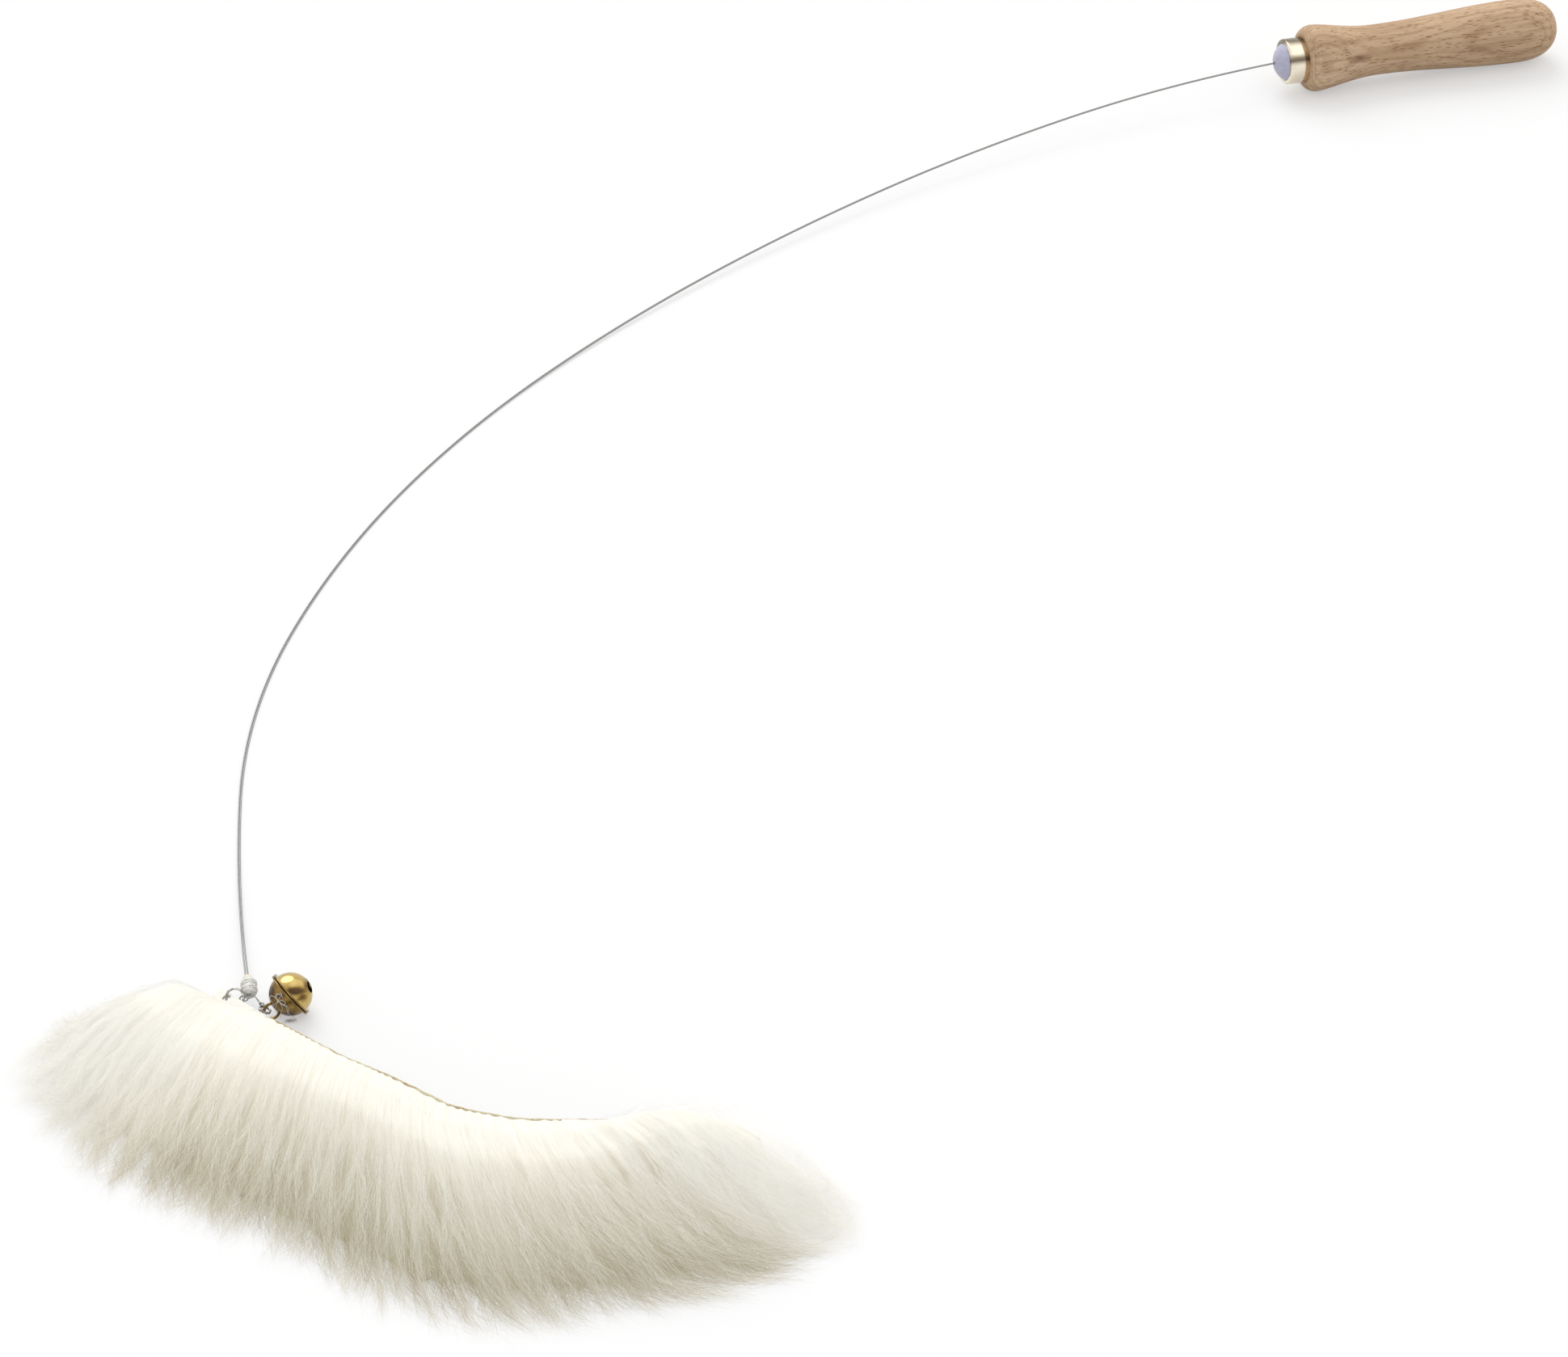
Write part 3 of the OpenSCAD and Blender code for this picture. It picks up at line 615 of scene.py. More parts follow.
def addWire(w):
    inward = (atGrip @ upright - atGrip @ Vector((0, 0, 0))).normalized()
    right = legPath(w, 1)
    left = legPath(w, -1)
    path = right + eyePath(w) + left[::-1]
    tails = [inward * w["tail"] * share for share in w["tailShares"]]
    whole = [right[0] + t for t in tails] + path + [left[0] + t for t in reversed(tails)]
    obj = addTubes("springWire", [whole], w["radius"], w["sides"])
    setMaterial(obj, metalMaterial("springSteel", (0.27, 0.27, 0.26), 0.3, 2500.0))
    attach(obj, "wand", "wire_steel", "spring_wire")
    length = sum((b - a).length for a, b in zip(whole, whole[1:]))
    return length


wireLength = addWire(wireSettings)
print("spring wire", round(wireLength, 4))


# Grip: a line with the turned radius on each point, made round by a node group
woodSettings = {
    "grain": (420, 420, 26),
    "broad": (60, 34, 9),
    "rings": (200, 200, 30),
    "ringsBehind": 16 * mm,
    "flecks": (1700, 1700, 190),
    "patches": (300, 300, 120),
    "streak": (160, 160, 62),
    "streakAt": 30.0,
    "streakLow": 0.25,
}


def gripRadius(g, d):
    if d < g["flareAt"]:
        x = max(0.0, (d - g["frontEdge"]) / (g["flareAt"] - g["frontEdge"]))
        rise = math.sqrt(max(0, 1 - (1 - x) ** 2))
        return g["shoulderRadius"] + (g["flareRadius"] - g["shoulderRadius"]) * rise
    if d < g["waistAt"]:
        x = ((d - g["flareAt"]) / (g["waistAt"] - g["flareAt"])) ** g["waistSkew"]
        return swell(g["flareRadius"], g["waistRadius"], x)
    if d < g["buttAt"]:
        x = (d - g["waistAt"]) / (g["buttAt"] - g["waistAt"])
        return swell(g["waistRadius"], g["buttRadius"], x)
    x = (d - g["buttAt"]) / (g["length"] - g["buttAt"])
    return g["buttRadius"] * max(0.0, 1 - x ** g["buttPower"]) ** (1 / g["buttPower"])


def gripStations(g):
    rise, middle, end = g["steps"]
    quarter = math.pi / 2
    front, long, butt = g["flareAt"] - g["frontEdge"], g["buttAt"] - g["flareAt"], g["length"] - g["buttAt"]
    stations = [g["frontEdge"] + front * (1 - math.cos(quarter * i / rise)) for i in range(rise)]
    stations += [g["flareAt"] + long * i / middle for i in range(middle)]
    stations += [g["buttAt"] + butt * math.sin(quarter * i / end) for i in range(end)]
    return stations


def woodMaterial(s, g):
    # the side of the grip that the camera sees, a little low
    toCamera = Vector(cameraSettings["place"]) - atGrip @ Vector((0, 0, s["streakAt"] * mm))
    near = gripTurn.inverted() @ toCamera.normalized()
    down = gripTurn.inverted() @ -upright
    side = near.xy.normalized() + down.xy.normalized() * s["streakLow"]
    side.normalize()
    material, tree = newMaterial("beechWood")
    place = attributeNode(tree, "ownPlace", "Vector")
    grain = noiseNode(tree, place, s["grain"], 6.0, 0.6)
    base = rampNode(tree, noiseNode(tree, place, s["broad"]),
                    [(0.32, (0.57, 0.385, 0.235)), (0.68, (0.71, 0.515, 0.34))])
    color = stain(tree, base, rampNode(tree, grain, [(0.32, (0.68, 0.63, 0.58)), (0.56, white)]), 0.9)
    # growth rings round a line behind the grip make long ovals on the near side
    behind = side * s["ringsBehind"] * s["rings"][0]
    shifted = vectorMath(tree, "ADD", stretched(tree, place, s["rings"]), (*behind, 0.0))
    waves = {"Vector": shifted, "Scale": 1.0, "Distortion": 3.0, "Detail": 2.0}
    rings = addNode(tree, "ShaderNodeTexWave", waves, wave_type="RINGS", rings_direction="Z").outputs["Fac"]
    color = stain(tree, color, rampNode(tree, rings, [(0.0, (0.84, 0.79, 0.73)), (0.35, white)]), 0.8)
    cells = {"Vector": stretched(tree, place, s["flecks"]), "Scale": 1.0, "Randomness": 1.0}
    flecks = addNode(tree, "ShaderNodeTexVoronoi", cells, feature="F1").outputs["Distance"]
    spots = rampNode(tree, flecks, [(0.2, (0.48, 0.38, 0.29)), (0.36, white)])
    some = rampNode(tree, noiseNode(tree, place, s["patches"], 2.0), [(0.38, black), (0.5, white)])
    color = mixNode(tree, some, color, stain(tree, color, spots))
    # one dark streak low on the near side
    centre = side * gripRadius(g, s["streakAt"]) * mm * s["streak"][0]
    ends = {0: stretched(tree, place, s["streak"]), 1: (*centre, s["streakAt"] * mm * s["streak"][2])}
    away = addNode(tree, "ShaderNodeVectorMath", ends, operation="DISTANCE").outputs["Value"]
    color = stain(tree, color, rampNode(tree, away, [(0.0, (0.3, 0.17, 0.1)), (0.42, white)]), 0.85)
    return finishMaterial(material, {"Base Color": color, "Roughness": 0.62, "Specular IOR Level": 0.3,
                                     "Normal": bumpNode(tree, grain, 0.25, 0.0004)})


def addGrip(g):
    stations = gripStations(g)
    source = addPoints("gripLine", [(0, 0, d * mm) for d in stations] + [(0, 0, g["length"] * mm)])
    radii = [gripRadius(g, d) * mm for d in stations]
    pointAttribute(source, "turnedRadius", radii + [g["endRadius"] * mm])
    group, entry = newGroup("turnedGrip", {"Sides": 96})
    skin = sweepNode(group, lineNode(group, entry["Geometry"]), circleNode(group, entry["Sides"]),
                     readAttribute(group, "turnedRadius"))
    finishGroup(group, smoothNode(group, skin), entry["Material"])
    wood = woodMaterial(woodSettings, g)
    obj = bakeGroup("woodenGrip", source, group, {"Sides": g["sides"], "Material": wood})
    local = [v.co.copy() for v in obj.data.vertices]
    obj.data.transform(atGrip)
    pointAttribute(obj, "ownPlace", local)
    attach(obj, "wand", "beech", "handle_grip")
    sharpen(obj, degrees=50)
    return obj


woodenGrip = addGrip(gripSettings)
print("grip", len(woodenGrip.data.polygons))


# Ferrule and plug
ferruleSettings = {
    "radius": 9.55,
    "wall": 0.7,
    "length": 8.3,
    "lipRadius": 7.75,
    "lip": 0.9,
    "round": 0.8,
    "roundSteps": 10,
    "edge": 0.12,
    "backEdge": 0.15,
    "domeRadius": 7.69,
    "domeSteps": 24,
    "holeRoom": 0.06,
    "holeLip": (0.18, 0.03),
    "stemRadius": 3.4,
    "stemEnd": 22.0,
    "flange": 1.1,
    "flangeRoom": (0.06, 0.02),
    "sides": 128,
    "plugSides": 96,
}


def paintedReflectionBand(tree):
    # painted reflection: softly darker bands painted on the side that faces up and forward, standing in for
    # dark surroundings seen in the metal
    return rampNode(tree, attributeNode(tree, "paintedReflection"), [
        (0.34, white), (0.44, (0.2, 0.18, 0.15)), (0.5, (0.34, 0.31, 0.26)), (0.6, white),
        (0.76, white), (0.9, (0.26, 0.24, 0.2))])


def addFerrule(f):
    turns = [math.radians(90 / f["roundSteps"] * i) for i in range(f["roundSteps"] + 1)]
    inner = f["radius"] - f["wall"]
    profile = [(f["lipRadius"], f["edge"]), (f["lipRadius"] + f["edge"], 0.0)]
    profile += [(f["radius"] - f["round"] + f["round"] * math.sin(a), f["round"] - f["round"] * math.cos(a))
                for a in turns]
    profile += [(f["radius"], f["length"] - f["backEdge"]), (f["radius"] - f["edge"], f["length"])]
    profile += [(inner, f["length"]), (inner, f["lip"]), (f["lipRadius"], f["lip"])]
    obj = latheRing("metalFerrule", [(r * mm, z * mm) for r, z in profile], f["sides"], atGrip)
    # the band value runs from the side facing down to the side facing up as the camera sees it, so the
    # bands are a painted reflection
    centre = atGrip @ Vector((0, 0, f["length"] / 2 * mm))
    axis = (gripTurn @ upright).normalized()
    around = (viewUp - axis * viewUp.dot(axis)).normalized()
    reach = f["radius"] * mm
    facing = [(v.co - centre).dot(around) / reach for v in obj.data.vertices]
    pointAttribute(obj, "paintedReflection", [0.5 + 0.5 * value for value in facing])
    setMaterial(obj, metalMaterial("ferruleNickel", (0.86, 0.78, 0.64), 0.16, 700.0, (0.8, 0.71, 0.56),
                                   paintedReflectionBand))
    attach(obj, "wand", "ferrule_metal", "ferrule")
    sharpen(obj, degrees=40)


def addPlug(f, g):
    rise = g["domeRise"]
    ball = (f["domeRadius"] ** 2 + rise ** 2) / (2 * rise)
    half = math.asin(f["domeRadius"] / ball)
    hole = wireSettings["legHalf"] / mm + wireSettings["radius"] / mm + f["holeRoom"]
    high, low = f["holeLip"]
    profile = [(hole, -rise + high), (hole + f["holeRoom"], -rise + low)]
    for i in range(f["domeSteps"] + 1):
        a = half * i / f["domeSteps"]
        if ball * math.sin(a) > hole + f["edge"]:
            profile.append((ball * math.sin(a), ball * (1 - math.cos(a)) - rise))
    inner = f["radius"] - f["wall"] - f["flangeRoom"][0]
    front = f["lip"] + f["flangeRoom"][1]
    back = f["lip"] + f["flange"]
    profile += [(f["domeRadius"], front), (inner, front), (inner, back), (f["stemRadius"], back),
                (f["stemRadius"], f["stemEnd"]), (hole, f["stemEnd"])]
    obj = latheRing("plasticPlug", [(r * mm, z * mm) for r, z in profile], f["plugSides"], atGrip)
    setMaterial(obj, waxyMaterial("plugPlastic", "ownPlace", 500.0, (0.46, 0.46, 0.6), (0.54, 0.54, 0.68),
                                  0.38, 0.002, (0.08, 0.0003)))
    attach(obj, "wand", "plug_plastic", "end_plug")
    sharpen(obj, degrees=40)


addFerrule(ferruleSettings)
addPlug(ferruleSettings, gripSettings)
setMaterial(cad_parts["wire_crimp"], metalMaterial("crimpBrass", (0.62, 0.48, 0.2), 0.35))
print("ferrule and plug")


# Binding at the tip: glue bead, bound core and four layers of wandering thread
bindSettings = {
    "shift": 0.2 * mm,
    "beadAt": 0.55 * mm,
    "beadRadius": 1.4 * mm,
    "beadShares": (1.0, 0.92, 0.98),
    "beadRows": 14,
    "beadSides": 24,
    "from": 2.0 * mm,
    "to": 8.25 * mm,
    "midRadius": 2.2 * mm,
    "endRadius": 1.35 * mm,
    "bulgePower": 0.6,
    "coreIn": 0.1 * mm,
    "coreSteps": 16,
    "coreSides": 40,
    "threadRadius": 0.24 * mm,
    "waist": 0.5,
    "lobeAt": 0.24,
    "layers": 4,
    "layerStep": 0.14 * mm,
    "wander": 0.14,
    "wanderMore": 0.1,
    "wanderSpeed": 0.35,
    "wanderEnds": (0.02, 0.98),
    "crossing": (0.35, 2.0),
    "turns": 9,
    "steps": 26,
    "sides": 6,
    "seed": 11,
    "seedStep": 7,
}


def threadSpecks(tree):
    noise = noiseNode(tree, objectPlace(tree), 1900.0, 2.0)
    return rampNode(tree, noise, [(0.35, (0.66, 0.64, 0.58)), (0.42, white)])


threadLight = clothMaterial("bindingThread", (0.98, 0.975, 0.95), (0.84, 0.82, 0.77), 1100.0,
                            scatter=0.0, tint=threadSpecks)


def bindPlace(b, side, up, along):
    return tipPlace(b["shift"] + side, along, wireSettings["tipZ"] + up)


def addBead(b):
    wide, high, long = b["beadShares"]
    points = []
    for a, g in ballAngles(b["beadRows"], b["beadSides"]):
        uneven = 1 + 0.08 * math.sin(2 * g + 1) * math.sin(a) + 0.05 * math.sin(3 * g + 2 * a)
        r = b["beadRadius"] * uneven
        points.append(bindPlace(b, r * math.sin(a) * math.cos(g) * wide - b["shift"] / 2,
                                r * math.sin(a) * math.sin(g) * high, b["beadAt"] - r * math.cos(a) * long))
    obj = addMesh("glueBead", points, ringFaces(b["beadRows"], b["beadSides"]))
    setMaterial(obj, waxyMaterial("setGlue", None, 900.0, (0.72, 0.67, 0.5), (0.86, 0.83, 0.72),
                                  0.4, 0.001, (0.3, 0.0004)))
    attach(obj, "wand", "glue", "glue_bead")


def barrelRadius(b, share):
    lobes = 1 - b["waist"] * (1 - math.cos(4 * math.pi * (share - b["lobeAt"])))
    bulge = math.sin(math.pi * share) ** b["bulgePower"]
    return b["endRadius"] + (b["midRadius"] - b["endRadius"]) * bulge * lobes


def addCore(b):
    profile = [(0, b["from"])]
    for i in range(b["coreSteps"] + 1):
        x = i / b["coreSteps"]
        profile.append((barrelRadius(b, x) - b["coreIn"], b["from"] + (b["to"] - b["from"]) * x))
    profile.append((0, b["to"]))
    points, faces = latheData(profile, b["coreSides"])
    obj = addMesh("boundCore", [bindPlace(b, *p) for p in points], [tuple(reversed(f)) for f in faces])
    setMaterial(obj, threadLight)
    attach(obj, "wand", "thread", "wrap_core")
    return obj


def threadGroup(b):
    group, entry = newGroup("threadWinds", {
        "Turns": 12.0, "Length": 0.006, "Middle Radius": 0.002, "End Radius": 0.0014,
        "Thread Radius": 0.0002, "Wander": 0.3, "Waist": 0.3, "Lobe At": 0.25, "Seed": 1.0, "Sides": 6})
    calc, plus, minus, times, timesPlus, power = mathsFor(group)
    spline = lineNode(group, entry["Geometry"])
    share = addNode(group, "GeometryNodeSplineParameter").outputs["Factor"]
    angle = times(times(share, entry["Turns"]), math.tau)
    noise = lineNoise(group, plus(times(angle, b["wanderSpeed"]), entry["Seed"]), 2.0)[0]
    drift = times(minus(noise, 0.5), entry["Wander"])
    along = clampNode(group, plus(share, drift), *b["wanderEnds"])
    # the turns swell as the core does, in two lobes with a waist between
    bulge = power(calc("SINE", times(along, math.pi)), b["bulgePower"])
    swing = calc("COSINE", times(minus(along, entry["Lobe At"]), 4 * math.pi))
    lobes = times(minus(1.0, swing), entry["Waist"])
    bulge = times(bulge, minus(1.0, lobes))
    span = minus(entry["Middle Radius"], entry["End Radius"])
    radius = plus(entry["End Radius"], times(bulge, span))
    # where turns cross, one lies on the other
    middle, rise = b["crossing"]
    radius = plus(radius, times(minus(noise, middle), times(entry["Thread Radius"], rise)))
    place = combineNode(group, times(radius, calc("COSINE", angle)), times(radius, calc("SINE", angle)),
                        times(along, entry["Length"]))
    moved = addNode(group, "GeometryNodeSetPosition", {"Geometry": spline, "Position": place}).outputs[0]
    skin = sweepNode(group, moved, circleNode(group, entry["Sides"]), entry["Thread Radius"])
    return finishGroup(group, smoothNode(group, skin), entry["Material"])


def addThread(b):
    group = threadGroup(b)
    parts = []
    for layer in range(b["layers"]):
        source = addPoints("threadLine", [(0, 0, i * mm) for i in range(b["turns"] * b["steps"] + 1)])
        grow = layer * b["layerStep"]
        parts.append(bakeGroup("bindingThread", source, group, {
            "Turns": float(-b["turns"] if layer % 2 else b["turns"]), "Length": b["to"] - b["from"],
            "Middle Radius": b["midRadius"] + grow, "End Radius": b["endRadius"] + grow,
            "Thread Radius": b["threadRadius"], "Wander": b["wander"] + b["wanderMore"] * layer,
            "Waist": b["waist"], "Lobe At": b["lobeAt"], "Seed": float(b["seed"] + b["seedStep"] * layer),
            "Sides": b["sides"], "Material": threadLight}))
    obj = parts[0]
    chosen = {"active_object": obj, "selected_editable_objects": parts, "selected_objects": parts}
    with bpy.context.temp_override(**chosen):
        bpy.ops.object.join()
    for v in obj.data.vertices:
        v.co = bindPlace(b, v.co.x, v.co.y, b["from"] + v.co.z)
    obj.data.flip_normals()
    attach(obj, "wand", "thread", "wrap_thread")
    return obj


addBead(bindSettings)
for piece in (addCore(bindSettings), addThread(bindSettings)):
    piece.visible_shadow = False
    piece.visible_diffuse = False
print("binding")


# Rings and tie
ringSettings = {
    "furRadius": 2.75 * mm,
    "furWire": 0.4 * mm,
    "furZ": 3.5 * mm,
    "furLean": 40.0,
    "split": 3.0,
    "splitAt": 60.0,
    "steps": 72,
    "sides": 14,
    "smallRadius": 1.85 * mm,
    "coil": 0.24 * mm,
    "coilWire": 0.98,
    "coilTurns": 1.94,
    "coilFrom": 0.4,
    "crossAt": 0.42,
    "crossShare": 0.16,
    "coilSteps": 120,
    "coilSides": 12,
    "smallSide": 4.2 * mm,
    "smallAlong": 16.78 * mm,
    "smallZ": 3.05 * mm,
    "roll": -25.0,
}
tieSettings = {
    "side": 1.35 * mm,
    "along": 8.78 * mm,
    "radius": 0.28 * mm,
    "strandShift": 0.42,
    "strandRadius": 0.56,
    "twist": 26.0,
    "loop": 1.06 * mm,
    "loopGap": 0.35,
    "loopSteps": 40,
    "neckBack": 0.5 * mm,
    "neckRadius": 0.38 * mm,
    "neckWave": 0.1 * mm,
    "neckSteps": 24,
    "sides": 8,
}
ringSteel = metalMaterial("ringSteel", (0.6, 0.59, 0.55), 0.18, 1100.0, (0.07, 0.065, 0.05))


def furRingCentre(r):
    w = wireSettings
    lean = math.radians(r["furLean"])
    turn = math.asin((w["tipZ"] - r["furZ"]) / (r["furRadius"] * math.cos(lean)))
    side = -(w["eyeSide"] + r["furRadius"] * math.cos(turn))
    along = w["eyeAlong"] + r["furRadius"] * math.sin(turn) * math.sin(lean)
    return side, along, lean


def addFurRing(r):
    side, along, lean = furRingCentre(r)
    gap = math.radians(r["split"])
    path = []
    for i in range(r["steps"] + 1):
        g = math.radians(r["splitAt"]) + gap / 2 + (math.tau - gap) * i / r["steps"]
        up = r["furRadius"] * math.sin(g)
        path.append(tipPlace(side + r["furRadius"] * math.cos(g), along - up * math.sin(lean),
                             r["furZ"] + up * math.cos(lean)))
    obj = addTubes("furRing", [path], r["furWire"], r["sides"])
    setMaterial(obj, ringSteel)
    attach(obj, "link_ring", "ring_steel", "fur_ring")
    sharpen(obj, degrees=60)


def splitFrame(r, t):
    start = Vector((t["side"], -t["along"], 0))
    centre = Vector((r["smallSide"], -r["smallAlong"], 0))
    run = centre - start
    x = (tipSide * run.x - tipAlong * run.y).normalized()
    roll = math.radians(r["roll"])
    y = upright.cross(x) * math.cos(roll) + upright * math.sin(roll)
    return tipPlace(r["smallSide"], r["smallAlong"], r["smallZ"]), x, y, x.cross(y), run.length


def addSmallRing(r, t):
    centre, x, y, z, run = splitFrame(r, t)
    path = []
    for i in range(r["coilSteps"] + 1):
        share = i / r["coilSteps"]
        g = math.tau * r["coilTurns"] * share + r["coilFrom"]
        lift = (2 * clamp((share - r["crossAt"]) / r["crossShare"]) - 1) * r["coil"]
        turned = x * r["smallRadius"] * math.cos(g) + y * r["smallRadius"] * math.sin(g)
        path.append(centre + turned + z * lift)
    obj = addTubes("splitRing", [path], r["coil"] * r["coilWire"], r["coilSides"])
    setMaterial(obj, ringSteel)
    attach(obj, "small_ring", "ring_steel", "bell_ring")
    sharpen(obj, degrees=60)


def addTie(r, t):
    centre, x, y, z, run = splitFrame(r, t)
    near = centre - x * r["smallRadius"]
    span = math.tau - 2 * t["loopGap"]
    turns = [math.pi + t["loopGap"] + span * i / t["loopSteps"] for i in range(t["loopSteps"] + 1)]
    loop = [near + x * t["loop"] * math.cos(g) + z * t["loop"] * math.sin(g) for g in turns]
    start = centre - x * run
    neck = near - x * (t["loop"] + t["neckBack"])
    line = smoothPath([start, start + (neck - start) * 0.5, neck], steps=6)
    paths = []
    for phase in (0.0, math.pi):
        path = []
        for i, p in enumerate(line + loop):
            twist = phase + i / (len(line) + len(loop) - 1) * t["twist"]
            radial = z if i < len(line) else (p - near).normalized()
            aside = radial * math.cos(twist) + y * math.sin(twist)
            path.append(p + aside * t["radius"] * t["strandShift"])
        paths.append(smoothPath(path, steps=3))
    ring = []
    for i in range(t["neckSteps"] + 1):
        g = math.tau * i / t["neckSteps"]
        ring.append(neck + z * t["neckRadius"] * math.cos(g) + y * t["neckRadius"] * math.sin(g)
                    + x * t["neckWave"] * math.sin(3 * g))
    obj = addTubes("tieCord", paths + [ring], t["radius"] * t["strandRadius"], t["sides"])
    setMaterial(obj, clothMaterial("tieGrey", (0.5, 0.5, 0.5), (0.2, 0.2, 0.2), 2600.0, 0.6, 0.1))
    attach(obj, "wand", "tie", "tie_cord")


addFurRing(ringSettings)
addSmallRing(ringSettings, tieSettings)
addTie(ringSettings, tieSettings)
print("rings and tie")


# Bell: the spots in the table are painted dark reflections and tarnish, each as x, y, width, height and
# depth of tone, as the camera sees it
bellSettings = {
    "radius": 6.85,
    "wall": 0.45,
    "rimRadius": 7.95,
    "rim": 0.62,
    "rimRound": 0.2,
    "rimEdge": (0.06, 0.07),
    "rimFoot": (0.08, 0.22),
    "rimFillet": 0.16,
    "slot": 1.2,
    "slotHole": 1.7,
    "slotAngle": 24.0,
    "slotTurn": -78.0,
    "cutShares": (0.5, 1.3),
    "loopRadius": 2.3,
    "loopWire": 0.45,
    "loopOff": 7.9,
    "loopFace": 45.9,
    "loopOpen": 38.0,
    "loopSteps": 60,
    "loopSides": 14,
    "z": 7.0 * mm,
    "side": 12.66 * mm,
    "along": 15.37 * mm,
    "heading": 19.3,
    "rise": 31.2,
    "pellet": 2.1,
    "pelletRoom": 0.15,
    "pelletDent": 0.03,
    "pelletRows": 20,
    "pelletSides": 32,
    "seam": 0.1,
    "sides": 128,
    "lowerTone": 0.42,
    "lowerFrom": -0.02,
    "rimTones": (0.36, 0.7),
    "rimFlat": 0.3,
    "rimFrom": 1.03,
    "rimHalf": 0.15,
    "domeFrom": 0.02,
    "domeSteps": 32,
    "insideSteps": 28,
    "reflectionTarnishSpots": [(0.32, 0.2, 0.45, 0.19, 1.0), (0.62, -0.05, 0.25, 0.22, 0.55), (0.8, 0.5, 0.14, 0.4, 0.5),
               (-0.85, 0.1, 0.3, 0.5, 0.85), (-0.35, -0.02, 0.35, 0.18, 0.8), (-0.2, -0.9, 0.8, 0.2, 0.8)],
}
bellCentre = tipPlace(bellSettings["side"], bellSettings["along"], bellSettings["z"])


def bellPlace(b):
    turn = Euler((0, math.radians(90 - b["rise"]), math.radians(b["heading"]))).to_matrix().to_4x4()
    base = Matrix.Identity(4)
    for row in range(3):
        base[row][0] = tipSide[row]
        base[row][1] = -tipAlong[row]
        base[row][3] = bellCentre[row]
    return base @ turn


atBell = bellPlace(bellSettings)


def brassMaterial():
    material, tree = newMaterial("agedBrass")
    place = objectPlace(tree)
    broad = noiseNode(tree, place, 420.0)
    fine = noiseNode(tree, place, 2200.0, 5.0, 0.6)
    # the per-point value darkens the brass: painted dark reflections and tarnish
    level = mathNode(tree, "MULTIPLY_ADD", broad, 0.5, attributeNode(tree, "tarnishAndDarkReflection"))
    tone = rampNode(tree, level, [(0.2, (0.62, 0.46, 0.17)), (0.42, (0.47, 0.33, 0.1)),
                                  (0.68, (0.24, 0.15, 0.045)), (0.95, (0.085, 0.05, 0.02))])
    worn = rampNode(tree, fine, [(0.35, (0.8, 0.76, 0.7)), (0.6, white)])
    return finishMaterial(material, {
        "Base Color": stain(tree, tone, worn, 0.6), "Metallic": 1.0, "Roughness": 0.2, "Coat Weight": 0.15,
        "Coat Roughness": 0.1, "Normal": bumpNode(tree, fine, 0.06, 0.0002)})


def addTarnishAndDarkReflection(obj, b):
    axis = (atBell.to_3x3() @ upright).normalized()
    flat, edge = b["rimTones"]
    values = []
    for v in obj.data.vertices:
        d = (v.co - bellCentre) / (b["radius"] * mm)
        u, w, depth = d.dot(viewRight), d.dot(viewUp), d.dot(axis)
        # painted dark reflections and tarnish, placed where the camera sees them on the bell
        spots = [amount * math.exp(-((u - x) / wide) ** 2 - ((w - y) / high) ** 2)
                 for x, y, wide, high, amount in b["reflectionTarnishSpots"]]
        value = max(0.0, *spots)
        if depth < b["lowerFrom"]:
            value = max(value, b["lowerTone"])
        if d.length > b["rimFrom"] and abs(depth) < b["rimHalf"]:
            value = flat if abs(depth) * b["radius"] > b["rimFlat"] else edge
        values.append(value)
    pointAttribute(obj, "tarnishAndDarkReflection", values)


def shellProfile(b):
    inner = b["radius"] - b["wall"]
    low = math.asin((b["seam"] + b["rim"]) / b["radius"])
    foot, top, edge, soft = b["seam"], b["seam"] + b["rim"], b["rimRadius"], b["rimRound"]
    side, lift = b["rimEdge"]
    outer = [(inner, foot), (edge - soft, foot), (edge - side, foot + b["rimFoot"][0]),
             (edge, foot + b["rimFoot"][1]), (edge, top - soft), (edge - side, top - lift),
             (edge - soft, top), (b["radius"] * math.cos(low) + b["rimFillet"], top)]
    first = low + b["domeFrom"]
    for i in range(b["domeSteps"]):
        a = first + (math.pi / 2 - first) * i / b["domeSteps"]
        outer.append((b["radius"] * math.cos(a), b["radius"] * math.sin(a)))
    outer.append((0, b["radius"]))
    inside = [(0, inner)]
    for i in range(1, b["insideSteps"]):
        a = math.pi / 2 * (1 - i / b["insideSteps"])
        inside.append((inner * math.cos(a), inner * math.sin(a)))
    return outer, inside + [(inner, foot)]


def addShell(name, b, flip):
    outer, inside = shellProfile(b)
    a, faces = latheData([(r * mm, z * mm) for r, z in outer], b["sides"])
    c, innerFaces = latheData([(r * mm, z * mm) for r, z in inside], b["sides"])
    rim = len(c) - b["sides"]
    faces += [tuple((k - rim) if k >= rim else k + len(a) for k in f) for f in innerFaces]
    points = a + c[:rim]
    if flip:
        points = [Vector((p.x, p.y, -p.z)) for p in points]
        faces = [tuple(reversed(f)) for f in faces]
    return addMesh(name, points, faces)


def finishBell(obj, node, b, material):
    obj.data.transform(atBell)
    addTarnishAndDarkReflection(obj, b)
    setMaterial(obj, material)
    smoothFaces(obj.data)
    attach(obj, "bell", "bell_brass", node)
    sharpen(obj, degrees=35)


def cylinderMesh(name, radius, low, high, place, count=48):
    points, faces = latheData([(0, low), (radius, low), (radius, high), (0, high)], count)
    return addMesh(name, [place @ p for p in points], faces, smooth=False)


def boxMesh(name, lo, hi, place):
    points = [Vector((x, y, z)) for x in (lo[0], hi[0]) for y in (lo[1], hi[1]) for z in (lo[2], hi[2])]
    faces = [(0, 1, 3, 2), (4, 6, 7, 5), (0, 4, 5, 1), (2, 3, 7, 6), (0, 2, 6, 4), (1, 5, 7, 3)]
    return addMesh(name, [place @ p for p in points], faces, smooth=False)


